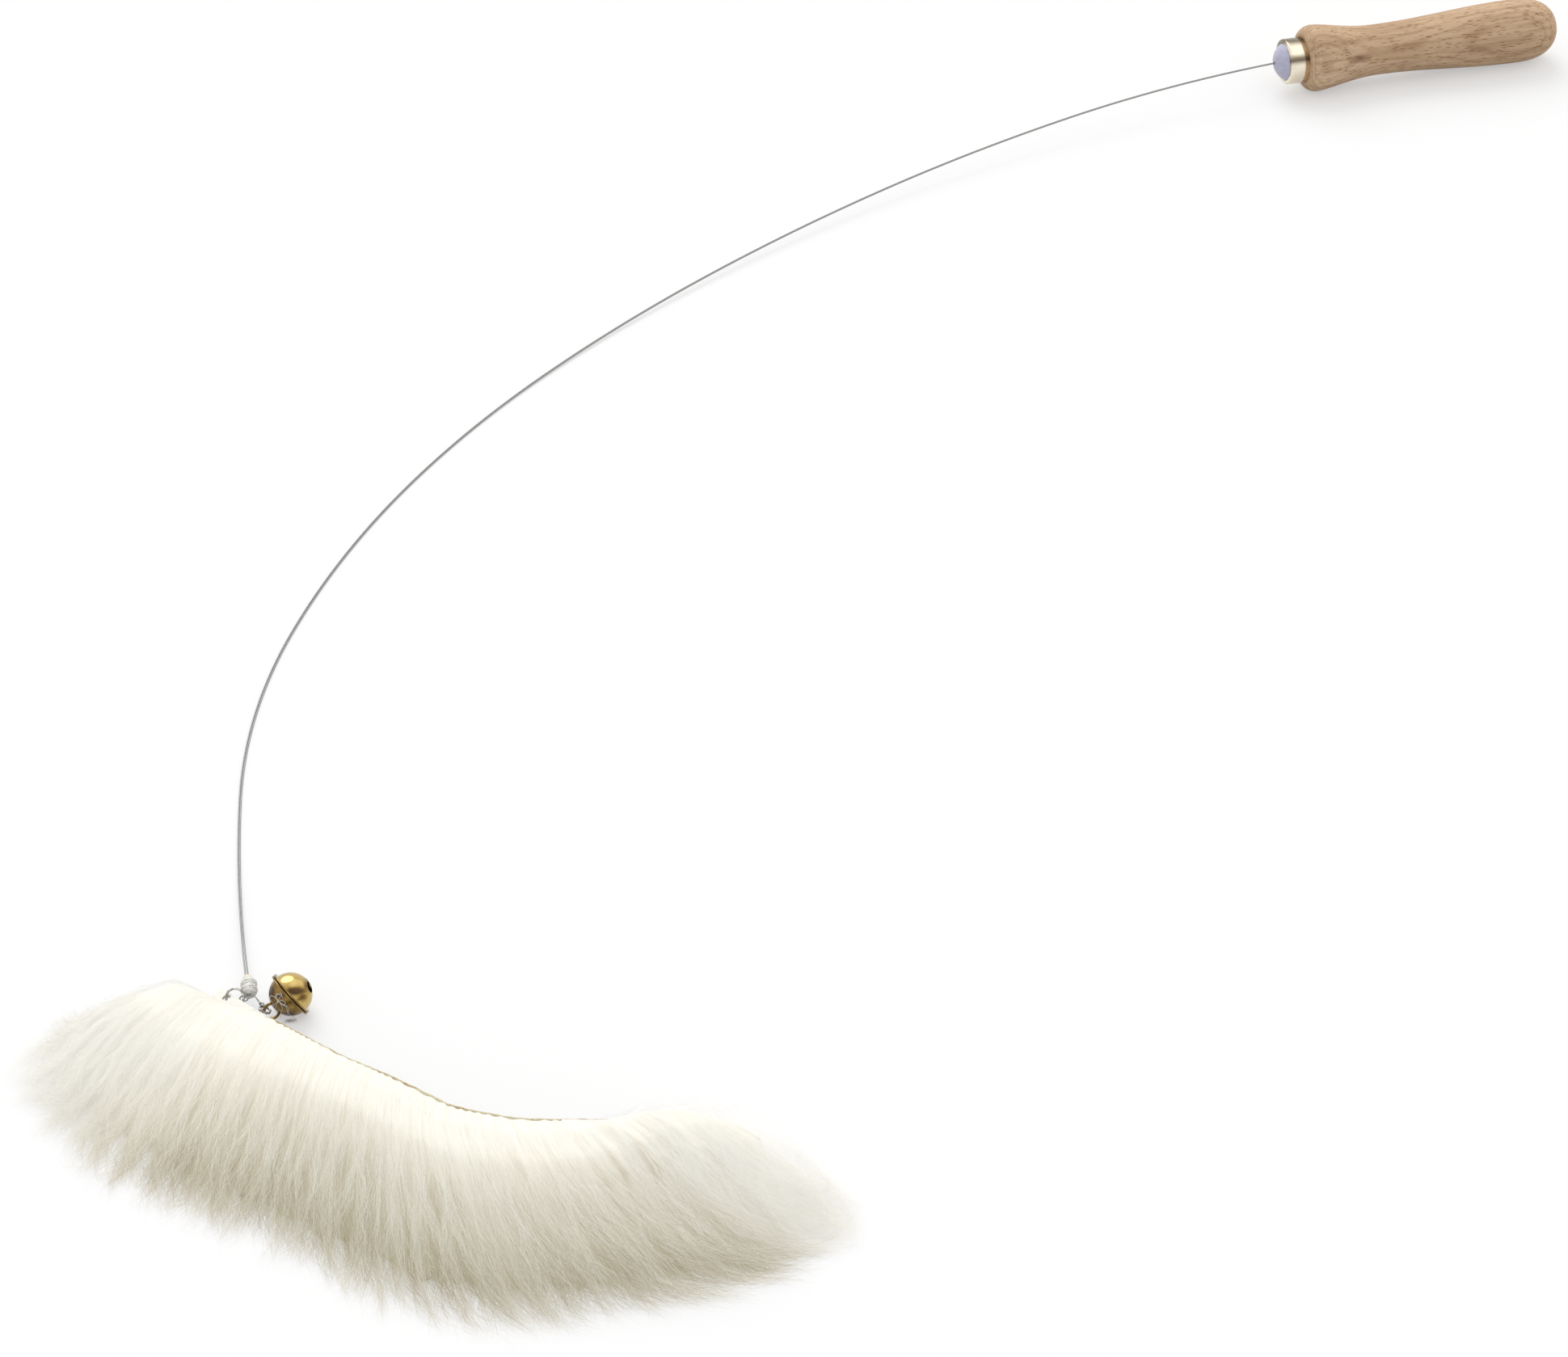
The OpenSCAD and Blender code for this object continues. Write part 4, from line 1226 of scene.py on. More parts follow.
def slotCutters(b):
    turn = Matrix.Rotation(math.radians(b["slotTurn"]), 4, "Z")
    out = b["radius"] * math.sin(math.radians(b["slotAngle"])) * mm
    half = b["slot"] / 2 * mm
    low, high = [b["radius"] * share * mm for share in b["cutShares"]]
    cutters = [boxMesh("slotCut", (-out, -half, low), (out, half, high), turn)]
    for side in (-1, 1):
        move = turn @ Matrix.Translation(Vector((side * out, 0, 0)))
        cutters.append(cylinderMesh("slotHoleCut", b["slotHole"] * mm, low, high, move))
    return cutters


def addBell(b):
    brass = brassMaterial()
    finishBell(addShell("bellUpper", b, True), "bell_upper", b, brass)
    lower = addShell("bellLower", b, False)
    booleanCut(lower, slotCutters(b))
    finishBell(lower, "bell_lower", b, brass)
    face = atBell @ Matrix.Rotation(math.radians(b["loopFace"]), 4, "Z")
    path = []
    for i in range(b["loopSteps"] + 1):
        g = math.radians(b["loopOpen"] + (360 - 2 * b["loopOpen"]) * i / b["loopSteps"])
        path.append(face @ Vector((0, b["loopRadius"] * math.sin(g) * mm,
                                   (b["loopRadius"] * math.cos(g) - b["loopOff"]) * mm)))
    loop = addTubes("bellLoop", [path], b["loopWire"] * mm, b["loopSides"])
    addTarnishAndDarkReflection(loop, b)
    setMaterial(loop, brass)
    attach(loop, "bell", "bell_brass")


def addPellet(b):
    drop = b["pellet"] - (b["radius"] - b["wall"]) + b["pelletRoom"]
    centre = tipPlace(b["side"], b["along"], b["z"] + drop * mm)
    points = []
    for a, g in ballAngles(b["pelletRows"], b["pelletSides"]):
        r = b["pellet"] * mm * (1 - b["pelletDent"] * (1 + math.sin(3 * g + 5 * a)) / 2)
        way = Vector((math.sin(a) * math.cos(g), math.sin(a) * math.sin(g), math.cos(a)))
        points.append(centre + way * r)
    obj = addMesh("bellPellet", points, ringFaces(b["pelletRows"], b["pelletSides"]))
    setMaterial(obj, metalMaterial("pelletIron", (0.2, 0.18, 0.16), 0.5))
    attach(obj, "pellet", "pellet_iron", "bell_pellet")


addBell(bellSettings)
addPellet(bellSettings)


# Frayed thread ends over the bell's lower left, then down to the floor
fraySettings = {
    "radius": 0.065 * mm,
    "lift": 0.14 * mm,
    "liftMore": 0.15 * mm,
    "sides": 6,
    "floorGap": 0.4 * mm,
    "fallGap": 0.6 * mm,
    "fallMost": 9.0 * mm,
    "fallRate": 4,
    "keySteps": 3,
    "finer": 4,
    "shake": 0.005,
    "root": (-0.47, -0.27),
    "ends": [
        [(-0.62, -0.08), (-0.8, -0.02), (-0.92, -0.18), (-0.78, -0.34)],
        [(-0.57, 0.02), (-0.34, 0.05), (-0.22, -0.1)],
        [(-0.34, -0.36), (-0.28, -0.6), (-0.44, -0.9), (-0.5, -1.12)],
        [(-0.12, -0.5), (-0.02, -0.84), (0.2, -1.14), (0.3, -1.42)],
        [(-0.66, -0.42), (-0.9, -0.5), (-1.12, -0.62)],
        [(-0.4, -0.1), (-0.28, 0.0), (-0.32, 0.12), (-0.54, 0.06), (-0.6, -0.12)],
        [(-0.22, -0.4), (-0.04, -0.5), (0.0, -0.7), (-0.1, -0.9)],
        [(-0.56, -0.46), (-0.66, -0.7), (-0.56, -0.96)],
        [(-0.3, -0.2), (-0.12, -0.3), (-0.2, -0.46), (-0.4, -0.4)],
    ],
    "tangle": (0.0, -1.42),
    "tangleSize": (0.34, 0.2),
    "tangleDrift": 0.25,
    "tangleHeight": (0.4, 1.6),
    "tangleReach": (0.2, 1.0),
    "tangleTurns": 26,
    "tangleStep": 2.4,
    "tangleFiner": 5,
    "seed": 8,
}


def overBell(f, b, u, w, extra=0.0):
    radius = b["radius"] * mm + f["lift"] + extra
    side = u * b["radius"] * mm
    up = w * b["radius"] * mm
    toward = math.sqrt(max(0.0, radius * radius - side * side - up * up))
    p = bellCentre + viewRight * side + viewUp * up + viewBack * toward
    if p.z < f["floorGap"] or toward == 0.0:
        # past the bell a thread falls on toward the floor along the line of sight
        drop = min(max(0.0, p.z - f["fallGap"]) / viewBack.z, f["fallMost"])
        p = p - viewBack * drop * clamp((math.hypot(u, w) - 1.0) * f["fallRate"])
        p.z = max(p.z, f["floorGap"])
    return p


def addFray(f, b):
    random.seed(f["seed"])
    paths = []
    for end in f["ends"]:
        keys = [f["root"]] + end
        flat = []
        for k in range((len(keys) - 1) * f["keySteps"] + 1):
            i = min(k // f["keySteps"], len(keys) - 2)
            share = k / f["keySteps"] - i
            u, w = [a + (c - a) * share + random.uniform(-f["shake"], f["shake"])
                    for a, c in zip(keys[i], keys[i + 1])]
            flat.append(overBell(f, b, u, w, random.uniform(0.0, f["liftMore"])))
        paths.append(smoothPath(flat, f["finer"]))
    flat = []
    for k in range(f["tangleTurns"]):
        a = k * f["tangleStep"]
        far = random.uniform(*f["tangleReach"])
        drift = f["tangleDrift"] * (k / f["tangleTurns"] - 0.5)
        u = f["tangle"][0] + f["tangleSize"][0] * far * math.cos(a) - drift
        w = f["tangle"][1] + f["tangleSize"][1] * far * math.sin(a)
        p = overBell(f, b, u, w)
        p.z = random.uniform(*f["tangleHeight"]) * mm
        flat.append(p)
    paths.append(smoothPath(flat, f["tangleFiner"]))
    obj = addTubes("frayedThreads", paths, f["radius"], f["sides"])
    setMaterial(obj, clothMaterial("frayedThread", (0.95, 0.91, 0.88), (0.8, 0.74, 0.7), 2000.0, 0.8, 0.2))
    attach(obj, "bell", "thread")


addFray(fraySettings, bellSettings)
print("bell")


# Hide: its edge is a row of straight runs, as shares of length, headings and shares of height
hideSettings = {
    "thick": 1.1 * mm,
    "width": 26 * mm,
    "endWidth": 16 * mm,
    "holeRadius": 1.3 * mm,
    "holeCut": 12 * mm,
    "lowZ": 1.6 * mm,
    "extra": 3.2 * mm,
    "cornerSide": 1.15 * mm,
    "cornerBack": 2.0 * mm,
    "cornerZ": 3.9 * mm,
    "holeTurn": 184.0,
    "rounding": 5 * mm,
    "probe": 1.5 * mm,
    "long": 162.7 * mm,
    "high": 21 * mm,
    "edge": ((0.085, -46.6, 0.29), (0.087, -46.7, 0.43), (0.175, -46.7, 0.71), (0.149, -39.9, 0.9),
             (0.143, -39.5, 1), (0.125, -15.3, 1), (0.147, 1.8, 0.95), (0.089, 8.7, 0.86)),
    "rows": 220,
    "cols": 12,
    "edgeRound": 0.3 * mm,
    "edgeSteps": 6,
    "farSides": (0.35, 0.7),
    "wobble": 0.16,
    "seed": 4,
}


def hideHole(h, r):
    side, along, lean = furRingCentre(r)
    g = math.radians(h["holeTurn"])
    return side + r["furRadius"] * math.cos(g), along - r["furRadius"] * math.sin(g) * math.sin(lean)


holeSide, holeAlong = hideHole(hideSettings, ringSettings)


def edgeKnots(h):
    corner = tipPlace(holeSide + h["cornerSide"], holeAlong - h["cornerBack"], h["cornerZ"])
    out = [corner - headingVector(math.radians(h["edge"][0][1])) * h["extra"], corner]
    for share, heading, z in h["edge"]:
        p = out[-1] + headingVector(math.radians(heading)) * share * h["long"]
        p.z = z * h["high"]
        out.append(p)
    return out


knots = edgeKnots(hideSettings)
runs = [0.0]
for one, two in zip(knots, knots[1:]):
    runs.append(runs[-1] + math.hypot(two.x - one.x, two.y - one.y))
edgeLength = runs[-1]


def edgeRaw(s):
    i = 0
    while i < len(runs) - 2 and s >= runs[i + 1]:
        i += 1
    return knots[i] + (knots[i + 1] - knots[i]) * ((s - runs[i]) / (runs[i + 1] - runs[i]))


def edgeAt(s):
    # a mean of five places near s rounds the corners
    w = min(hideSettings["rounding"], s, edgeLength - s)
    far = edgeRaw(s - w) + edgeRaw(s + w)
    return (far + 2 * edgeRaw(s) + 2 * edgeRaw(s - w / 2) + 2 * edgeRaw(s + w / 2)) / 8


def edgeDirection(s):
    probe = hideSettings["probe"]
    return (edgeAt(min(edgeLength, s + probe)) - edgeAt(max(0.0, s - probe))).normalized()


def hideWidth(s):
    h = hideSettings
    return swell(h["endWidth"], h["width"], clamp(s / (h["width"] - h["endWidth"]) / 2))


def acrossDirection(s):
    d = edgeDirection(s)
    drop = (edgeAt(s).z - hideSettings["lowZ"]) / hideWidth(s)
    return Vector((d.y, -d.x, 0)).normalized() * math.sqrt(1 - drop * drop) - upright * drop


def faceOut(s):
    return -edgeDirection(s).cross(acrossDirection(s)).normalized()


def faceAt(s, w):
    return edgeAt(s) + acrossDirection(s) * w


# Comb: each row is place along the edge, heading at the root and at the end, reach and height
combSettings = {
    "reach": 77.0 * mm,
    "high": 29.0,
    "rows": ((-0.004, 190, 188, 0.55, 0.24), (0.006, 200, 203, 0.74, 0.5), (0.026, 213, 217, 0.86, 0.66),
             (0.05, 226, 230, 0.93, 0.69), (0.08, 243, 246, 1, 0.62), (0.165, 247, 250, 0.99, 0.66),
             (0.315, 259, 261, 0.92, 0.86), (0.455, 264, 265, 0.91, 0.97), (0.595, 268, 269, 0.9, 1),
             (0.8, 279, 278, 0.82, 0.98), (0.895, 294, 293, 0.8, 0.95), (0.94, 312, 309, 0.81, 0.9),
             (0.968, 330, 322, 0.84, 0.79), (0.988, 350, 329, 0.87, 0.59), (1.004, 384, 333, 0.81, 0.34)),
    "climb": ((0, 0), (0.09, 0.5), (0.2, 1)),
    "fall": ((0.2, 1), (0.38, 0.97), (0.56, 0.78), (0.74, 0.5), (0.89, 0.22), (1, 0.05), (1.2, 0.02)),
    "bendPower": 4,
    "bare": 6.0 * mm,
    "edgeBare": 0.35 * mm,
    "bareFade": 17.0 * mm,
    "barePower": 0.7,
    "gap": 0.35,
    "reachMore": 1.2,
    "underShare": 0.3,
    "underGap": 0.7 * mm,
    "underFall": 4,
    "sheetRows": 180,
    "sheetCols": 48,
    "spacing": 600,
}


def combRow(x):
    rows = combSettings["rows"]
    p = min(len(rows) - 1 - 1e-6, max(0.0, x * (len(rows) - 1)))
    k = int(p)
    place, end, root, reach, high = [a + (b - a) * (p - k) for a, b in zip(rows[k], rows[k + 1])]
    return place * edgeLength, end, root, reach * combSettings["reach"], high * combSettings["high"]


def combPath(x, count):
    c = combSettings
    s, end, root, reach, high = combRow(x)
    step = reach * c["reachMore"] / (count - 1)
    out = [Vector((0, 0, 0))]
    for k in range(count - 1):
        share = min(1.0, (k + 0.5) / (count - 1) * c["reachMore"])
        a = math.radians(root + (end - root) * (1 - share) ** c["bendPower"])
        out.append(out[-1] + headingVector(a) * step)
    return out


def bareAt(s):
    c = combSettings
    x = max(0.0, 1 - max(0.0, s) / c["bareFade"]) ** c["barePower"]
    return c["edgeBare"] + (c["bare"] - c["edgeBare"]) * x


def outerLine(x, count):
    c = combSettings
    s, end, root, reach, high = combRow(x)
    start = faceAt(s, bareAt(s)) + faceOut(s) * c["gap"] * mm
    base = start.z / mm + c["gap"]
    top = c["climb"][-1][0]
    out = []
    for k, p in enumerate(combPath(x, count)):
        t = k / (count - 1) * c["reachMore"]
        z = base + (high - base) * between(c["climb"], t) if t < top else high * between(c["fall"], t)
        out.append(Vector((start.x + p.x, start.y + p.y, z * mm)))
    return out


def innerLine(x, count):
    c = combSettings
    s = combRow(x)[0]
    lift = faceOut(s) * c["gap"] * mm
    bare = bareAt(s)
    width = hideWidth(s) + c["underGap"]
    foot = faceAt(s, width) + lift
    tip = faceAt(s, bare) + lift + combPath(x, count)[-1]
    out = []
    for k in range(count):
        t = k / (count - 1) * c["reachMore"]
        if t < c["underShare"]:
            out.append(faceAt(s, bare + (width - bare) * t / c["underShare"]) + lift)
        else:
            far = (t - c["underShare"]) / (c["reachMore"] - c["underShare"])
            p = foot.lerp(tip, far)
            p.z = foot.z + (c["underGap"] - foot.z) * min(1.0, far * c["underFall"])
            out.append(p)
    return out


def combPlaces(rows):
    # even steps along the middle of the fur, so that the fans at both ends get their share
    fine = combSettings["spacing"]
    middles = []
    for i in range(fine + 1):
        s, end, root, reach, high = combRow(i / fine)
        middles.append(faceAt(s, 0) + headingVector(math.radians(root)) * reach * 0.5)
    total = [0.0]
    for one, two in zip(middles, middles[1:]):
        total.append(total[-1] + (two - one).length)
    places = []
    k = 0
    for i in range(rows + 1):
        want = total[-1] * i / rows
        while k < fine - 1 and total[k + 1] < want:
            k += 1
        places.append((k + (want - total[k]) / (total[k + 1] - total[k])) / fine)
    return places


def guideSheet(name, maker, rows, cols):
    points = []
    for x in combPlaces(rows):
        points += maker(x, cols + 1)
    faces = []
    for i in range(rows):
        for a in range(i * (cols + 1), i * (cols + 1) + cols):
            faces.append((a, a + 1, a + cols + 2, a + cols + 1))
    obj = addMesh(name, points, faces)
    layer = obj.data.uv_layers.new(name="combMap")
    for polygon in obj.data.polygons:
        for loop, corner in zip(polygon.loop_indices, polygon.vertices):
            layer.data[loop].uv = (corner // (cols + 1) / rows, corner % (cols + 1) / cols)
    return obj


outerSheet = guideSheet("outerSheet", outerLine, combSettings["sheetRows"], combSettings["sheetCols"])
innerSheet = guideSheet("innerSheet", innerLine, combSettings["sheetRows"], combSettings["sheetCols"])
print("comb sheets")


def suedeMaterial():
    material, tree = newMaterial("suedeHide")
    place = objectPlace(tree)
    share = attributeNode(tree, "edgeShare")
    fine = noiseNode(tree, place, 1400.0, 5.0, 0.65)
    tone = rampNode(tree, fine, [(0.3, (0.5, 0.45, 0.29)), (0.65, (0.76, 0.7, 0.5))])
    patch = rampNode(tree, noiseNode(tree, place, 110.0), [(0.5, white), (0.62, (0.72, 0.61, 0.46))])
    worn = rampNode(tree, share, [(0.0, (0.7, 0.62, 0.52)), (0.2, (0.85, 0.8, 0.74)), (0.3, white),
                                  (0.86, white), (0.9, (0.6, 0.42, 0.3)), (0.96, (0.9, 0.8, 0.7))])
    color = stain(tree, stain(tree, tone, patch, 0.8), worn)
    bleached = rampNode(tree, share, [(0.13, white), (0.17, black)])
    pale = rampNode(tree, fine, [(0.3, (0.82, 0.79, 0.7)), (0.6, (0.93, 0.91, 0.85))])
    return finishMaterial(material, {"Base Color": mixNode(tree, bleached, color, pale), "Roughness": 0.9,
                                     "Sheen Weight": 0.25, "Normal": bumpNode(tree, fine, 0.5, 0.0003)})


def hideRing(h, s, cut):
    # one cross section: the haired face, the far edge, the back, and the round seen edge
    rim = h["edgeRound"]
    width = hideWidth(s)
    back = faceOut(s) * h["thick"]
    across = [(width - cut - rim) * j / h["cols"] for j in range(h["cols"] + 1)]
    ring = [faceAt(s, cut + rim + a) for a in across]
    ring += [faceAt(s, width) - back * k for k in h["farSides"]]
    ring += [faceAt(s, width - a) - back for a in across]
    for k in range(1, h["edgeSteps"]):
        a = math.pi * k / h["edgeSteps"]
        ring.append(faceAt(s, cut + rim - rim * math.sin(a)) - back * (1 + math.cos(a)) / 2)
    return ring


def addHide(h):
    random.seed(h["seed"])
    rows = h["rows"]
    wobble = [random.uniform(-h["wobble"], h["wobble"]) for i in range(rows + 1)]
    points = []
    shares = []
    for i in range(rows + 1):
        ring = hideRing(h, edgeLength * i / rows, sum(wobble[max(0, i - 1):i + 2]) / 3 * mm)
        points += ring
        shares += [i / rows] * len(ring)
    n = len(ring)
    faces = ringFaces(rows, n, flip=True)
    faces += [tuple(reversed(range(n))), tuple(rows * n + k for k in range(n))]
    obj = addMesh("hideStrip", points, faces)
    pointAttribute(obj, "edgeShare", shares)
    hole = Matrix.Translation(tipPlace(holeSide, holeAlong, 0))
    booleanCut(obj, [cylinderMesh("holeCut", h["holeRadius"], 0.0, h["holeCut"], hole)])
    smoothFaces(obj.data)
    setMaterial(obj, suedeMaterial())
    attach(obj, "lure", "hide", "hide_strip")
    sharpen(obj, degrees=50)
    return obj


hideStrip = addHide(hideSettings)
print("hide", len(hideStrip.data.polygons))


# Fur: a combed core below, then single hairs between the inner and the outer sheet
furSettings = {
    "coreDepth": 0.93,
    "coreReach": 0.85,
    "coreReachLeast": 0.93,
    "coreTaper": 0.6,
    "coreTaperPower": 0.6,
    "coreThinnest": 0.02,
    "coreRidge": 0.06,
    "coreRows": 460,
    "coreEnds": (0.012, 0.976),
    "coreOver": 30,
    "coreUnder": 12,
    "underShares": (0.02, 0.96),
    "underSink": 0.1 * mm,
    "underSinkFrom": 0.4,
    "bareRim": 0.034,
    "bareFrom": 0.11,
    "bareTo": 0.8,
    "coveredRim": 0.004,
    "puff": 0.4,
    "puffFrom": 0.78,
    "puffFade": 0.16,
    "puffRoot": 0.14,
    # tones: the cream at the hide's edge, then two darker stops of painted shade down the coat
    "tones": ((0.95, 0.93, 0.85), (0.84, 0.805, 0.685), (0.63, 0.58, 0.43)),
    "paintedShadeLeast": 0.1,
    "paintedShadeFades": (0.32, 0.22),
    "pieces": 9,
    "denser": {0: 1.6, 1: 1.25},
    "seed": 100,
    "seedStep": 10,
    "coatShare": 0.75,
    "flow": [(0, 0), (0.25, 0), (0.4, -0.02), (0.5, 0.01), (0.62, 0.09), (0.78, 0.11), (0.92, 0.06),
             (1, 0)],
    "flowPower": 1.6,
    "sets": {
        "Cover": {
            "count": 2250, "Points": 14, "Radius": 0.04 * mm, "Start Low": 0.03, "Start High": 0.6,
            "Length Low": 0.7, "Length High": 1.0, "Big Locks": 130.0, "Big Pull": 0.1,
            "Small Locks": 520.0, "Small Pull": 0.2, "Wave": 0.008, "Lock Wave": 0.6,
            "Depth Low": 0.926, "Depth High": 0.94, "Frizz": 0.0012, "Crimp": 4.0, "Lock Length": 0.06},
        "Tips": {
            "count": 18900, "Points": 9, "Radius": 0.04 * mm, "Start Low": 0.4, "Start High": 0.84,
            "Length Low": 0.66, "Length High": 1.1, "Big Locks": 130.0, "Big Pull": 0.16,
            "Small Locks": 640.0, "Small Pull": 0.5, "Wave": 0.017, "Lock Wave": 1.6, "Depth Low": 0.15,
            "Depth High": 0.98, "Frizz": 0.0062, "Crimp": 7.0, "Lock Length": 0.09},
        "Locks": {
            "count": 3600, "Points": 10, "Radius": 0.042 * mm, "Start Low": 0.35, "Start High": 0.7,
            "Length Low": 0.72, "Length High": 1.1, "Big Locks": 130.0, "Big Pull": 0.1,
            "Small Locks": 230.0, "Small Pull": 0.8, "Wave": 0.006, "Lock Wave": 6.0, "Depth Low": 0.97,
            "Depth High": 1.07, "Frizz": 0.004, "Crimp": 7.0, "Lock Length": 0.18},
        "Strays": {
            "count": 3600, "Points": 12, "Radius": 0.022 * mm, "Start Low": 0.05, "Start High": 0.75,
            "Length Low": 0.6, "Length High": 1.15, "Big Locks": 130.0, "Big Pull": 0.0,
            "Small Locks": 640.0, "Small Pull": 0.0, "Wave": 0.022, "Lock Wave": 1.0, "Depth Low": 0.95,
            "Depth High": 1.1, "Frizz": 0.0075, "Crimp": 7.0, "Lock Length": 0.1},
    },
    "paleSets": ("Locks",),
    "shadeless": ("Cover", "Strays"),
}


def flowAt(place):
    steps = furSettings["flow"]
    for (a, low), (b, high) in zip(steps, steps[1:]):
        if place <= b:
            return low + ease((place - a) / (b - a), high - low)
    return steps[-1][1]


def puffAt(place):
    f = furSettings
    return ease(clamp((place - f["puffFrom"]) / f["puffFade"]), f["puff"])


# share of painted shade at a place along the edge, least at both ends and most in the middle, times how far
# down the coat
def paintedShadeShare(place, along):
    least = furSettings["paintedShadeLeast"]
    low, high = furSettings["paintedShadeFades"]
    return along * (least + ease(clamp((1.0 - place) / high), ease(clamp(place / low), 1 - least)))


# painted shade: the cream darkens down the coat where the fur turns away from the light; soft brings the
# darker stops back toward the cream
def furToneWithPaintedShade(tree, along, soft=0.0):
    light, middle, low = [Vector(color) for color in furSettings["tones"]]
    middle, low = middle.lerp(light, soft), low.lerp(light, soft)
    return rampNode(tree, along, [(0.0, light), (0.28, light), (0.52, middle), (0.82, low), (0.88, low),
                                  (1.05, middle.lerp(low, 0.35))])


def hairMaterial(name, paleFrom):
    material, tree = newMaterial(name)
    along = attributeNode(tree, "hairTone")
    tone = furToneWithPaintedShade(tree, along)
    # random tone per hair, then painted shade for hairs deep in the coat and in the gaps at the sides of a
    # lock
    for key, stops in (("hairChance", [(0.0, (0.86, 0.83, 0.78)), (0.4, white)]),
                       ("hairDeep", [(0.0, (0.74, 0.7, 0.6)), (0.85, white)]),
                       ("hairSide", [(0.15, white), (0.9, (0.74, 0.7, 0.62))])):
        tone = stain(tree, tone, rampNode(tree, attributeNode(tree, key), stops))
    pale = rampNode(tree, attributeNode(tree, "hairChance"), [(paleFrom, black), (paleFrom + 0.1, white)])
    return finishMaterial(material, {"Base Color": mixNode(tree, pale, tone, furToneWithPaintedShade(tree, along, 0.6)),
                                     "Roughness": 0.6, "Specular IOR Level": 0.2})


def coreMaterial():
    material, tree = newMaterial("combedFur")
    spot = attributeNode(tree, "combSpot", "Vector")
    parts = addNode(tree, "ShaderNodeSeparateXYZ", {0: spot}).outputs
    fine = noiseNode(tree, spot, (900, 7, 1), 4.0, 0.6)
    lock = noiseNode(tree, spot, (150, 3.2, 1), 3.0, 0.55)
    fineTone = rampNode(tree, fine, [(0.34, (0.9, 0.88, 0.83)), (0.6, white)])
    lockTone = rampNode(tree, lock, [(0.34, (0.82, 0.78, 0.69)), (0.56, white)])
    low = rangeNode(tree, parts["Y"], {"From Min": 0.2, "From Max": 0.7, "To Min": 0.4})
    # the core carries the same painted shade down the coat
    tone = furToneWithPaintedShade(tree, parts["Z"])
    for tint in (fineTone, lockTone):
        tone = mixNode(tree, low, tone, stain(tree, tone, tint))
    height = mathNode(tree, "MULTIPLY_ADD", lock, 2.0, fine)
    return finishMaterial(material, {"Base Color": tone, "Roughness": 0.85, "Specular IOR Level": 0.2,
                                     "Normal": bumpNode(tree, height, 0.3, 0.0006)})


def sheetPoint(lines, t, depth):
    inner, outer = lines
    last = len(inner) - 1
    p = min(last - 1e-6, t / combSettings["reachMore"] * last)
    k = int(p)
    return inner[k].lerp(inner[k + 1], p - k).lerp(outer[k].lerp(outer[k + 1], p - k), depth)


def ridgeAt(i, t):
    broad = math.sin(i * 0.23 + 1.7 * math.sin(i * 0.061) + 0.8 * math.sin(3 * t + i * 0.02))
    middle = math.sin(i * 0.71 + 2.1 * math.sin(i * 0.17) + 0.9 * math.sin(4 * t + i * 0.05))
    return 0.5 + 0.28 * broad + 0.22 * middle


def rimAt(f, i):
    if not f["bareFrom"] < i / f["coreRows"] < f["bareTo"]:
        return f["coveredRim"]
    return f["bareRim"] * (0.4 + 0.6 * abs(math.sin(i * 0.37 + 2.2 * math.sin(i * 0.083))))


def addCoreFur(f):
    rows, over, under = f["coreRows"], f["coreOver"], f["coreUnder"]
    points = []
    spots = []
    for i, x in enumerate(combPlaces(rows)):
        place = i / rows
        x = f["coreEnds"][0] + x * f["coreEnds"][1]
        lines = innerLine(x, combSettings["sheetCols"] + 1), outerLine(x, combSettings["sheetCols"] + 1)
        flow = flowAt(place)
        least = f["coreReachLeast"]
        reach = f["coreReach"] * (least + (1 - least) * ridgeAt(i - flow * rows, 1))
        for k in range(over + 1):
            t = reach * k / over
            bent = place - flow * t ** f["flowPower"]
            depth = f["coreDepth"] * (1 - f["coreRidge"] * (1 - ridgeAt(bent * rows, t)) * min(1.0, t * 2))
            thin = max(0.0, t / reach - f["coreTaper"]) / (1 - f["coreTaper"])
            depth *= max(f["coreThinnest"], 1 - thin) ** f["coreTaperPower"]
            depth *= 1 + puffAt(place) * min(1.0, t / f["puffRoot"])
            points.append(sheetPoint(lines, max(t, rimAt(f, i)), depth))
            # the third value is the share of painted shade
            spots.append(Vector((bent, t, paintedShadeShare(bent, t))))
        for k in range(under, -1, -1):
            t = reach * (f["underShares"][0] + f["underShares"][1] * k / under)
            sink = f["underSink"] if k > under * f["underSinkFrom"] else 0.0
            points.append(sheetPoint(lines, t, 0.0) - upright * sink)
            spots.append(Vector((place, 1.0, paintedShadeShare(place, 1.0))))
    n = over + under + 2
    faces = ringFaces(rows, n)
    faces += [tuple(range(n)), tuple(reversed([rows * n + k for k in range(n)]))]
    obj = addMesh("furCore", points, faces)
    pointAttribute(obj, "combSpot", spots)
    setMaterial(obj, coreMaterial())
    attach(obj, "lure", "fur", "fur_pile")


addCoreFur(furSettings)
print("fur core")


# Each hair is a line on the coat: t runs down it from the hide's edge, u along the edge
hairSettings = {
    "chances": {"smallPlace": 3.0, "bigPlace": 5.0, "length": 9.0, "bigLift": 17.0, "smallLift": 19.0,
                "pull": 23.0, "side": 41.0},
    "lockWander": (0.7, 0.15),
    "lengthPower": 0.7,
    "leastReach": 0.004,
    "gatherFrom": 0.08,
    "bigPullPower": 1.6,
    "bigPullSpread": (1.6, 0.2),
    "waves": {"hair": (3.0, 1.0, 0.0, 1.0), "small": (2.6, 7.31, 11.0, 0.5), "big": (2.0, 7.31, 31.0, 1.0)},
    "edges": (0.0005, 0.9995),
    "rise": (0.04, 0.97),
    "bigLift": 0.1,
    "smallLift": 0.08,
    "highest": 1.12,
    "floorGaps": (0.0007, 0.00015),
    "fadedTone": 0.5,
    "sideSlope": 2.2,
    "sideSpread": (0.8, -0.4),
    "taper": (2.5, 0.78),
    "thickness": (0.5, 0.75),
    "flatness": 0.25,
}


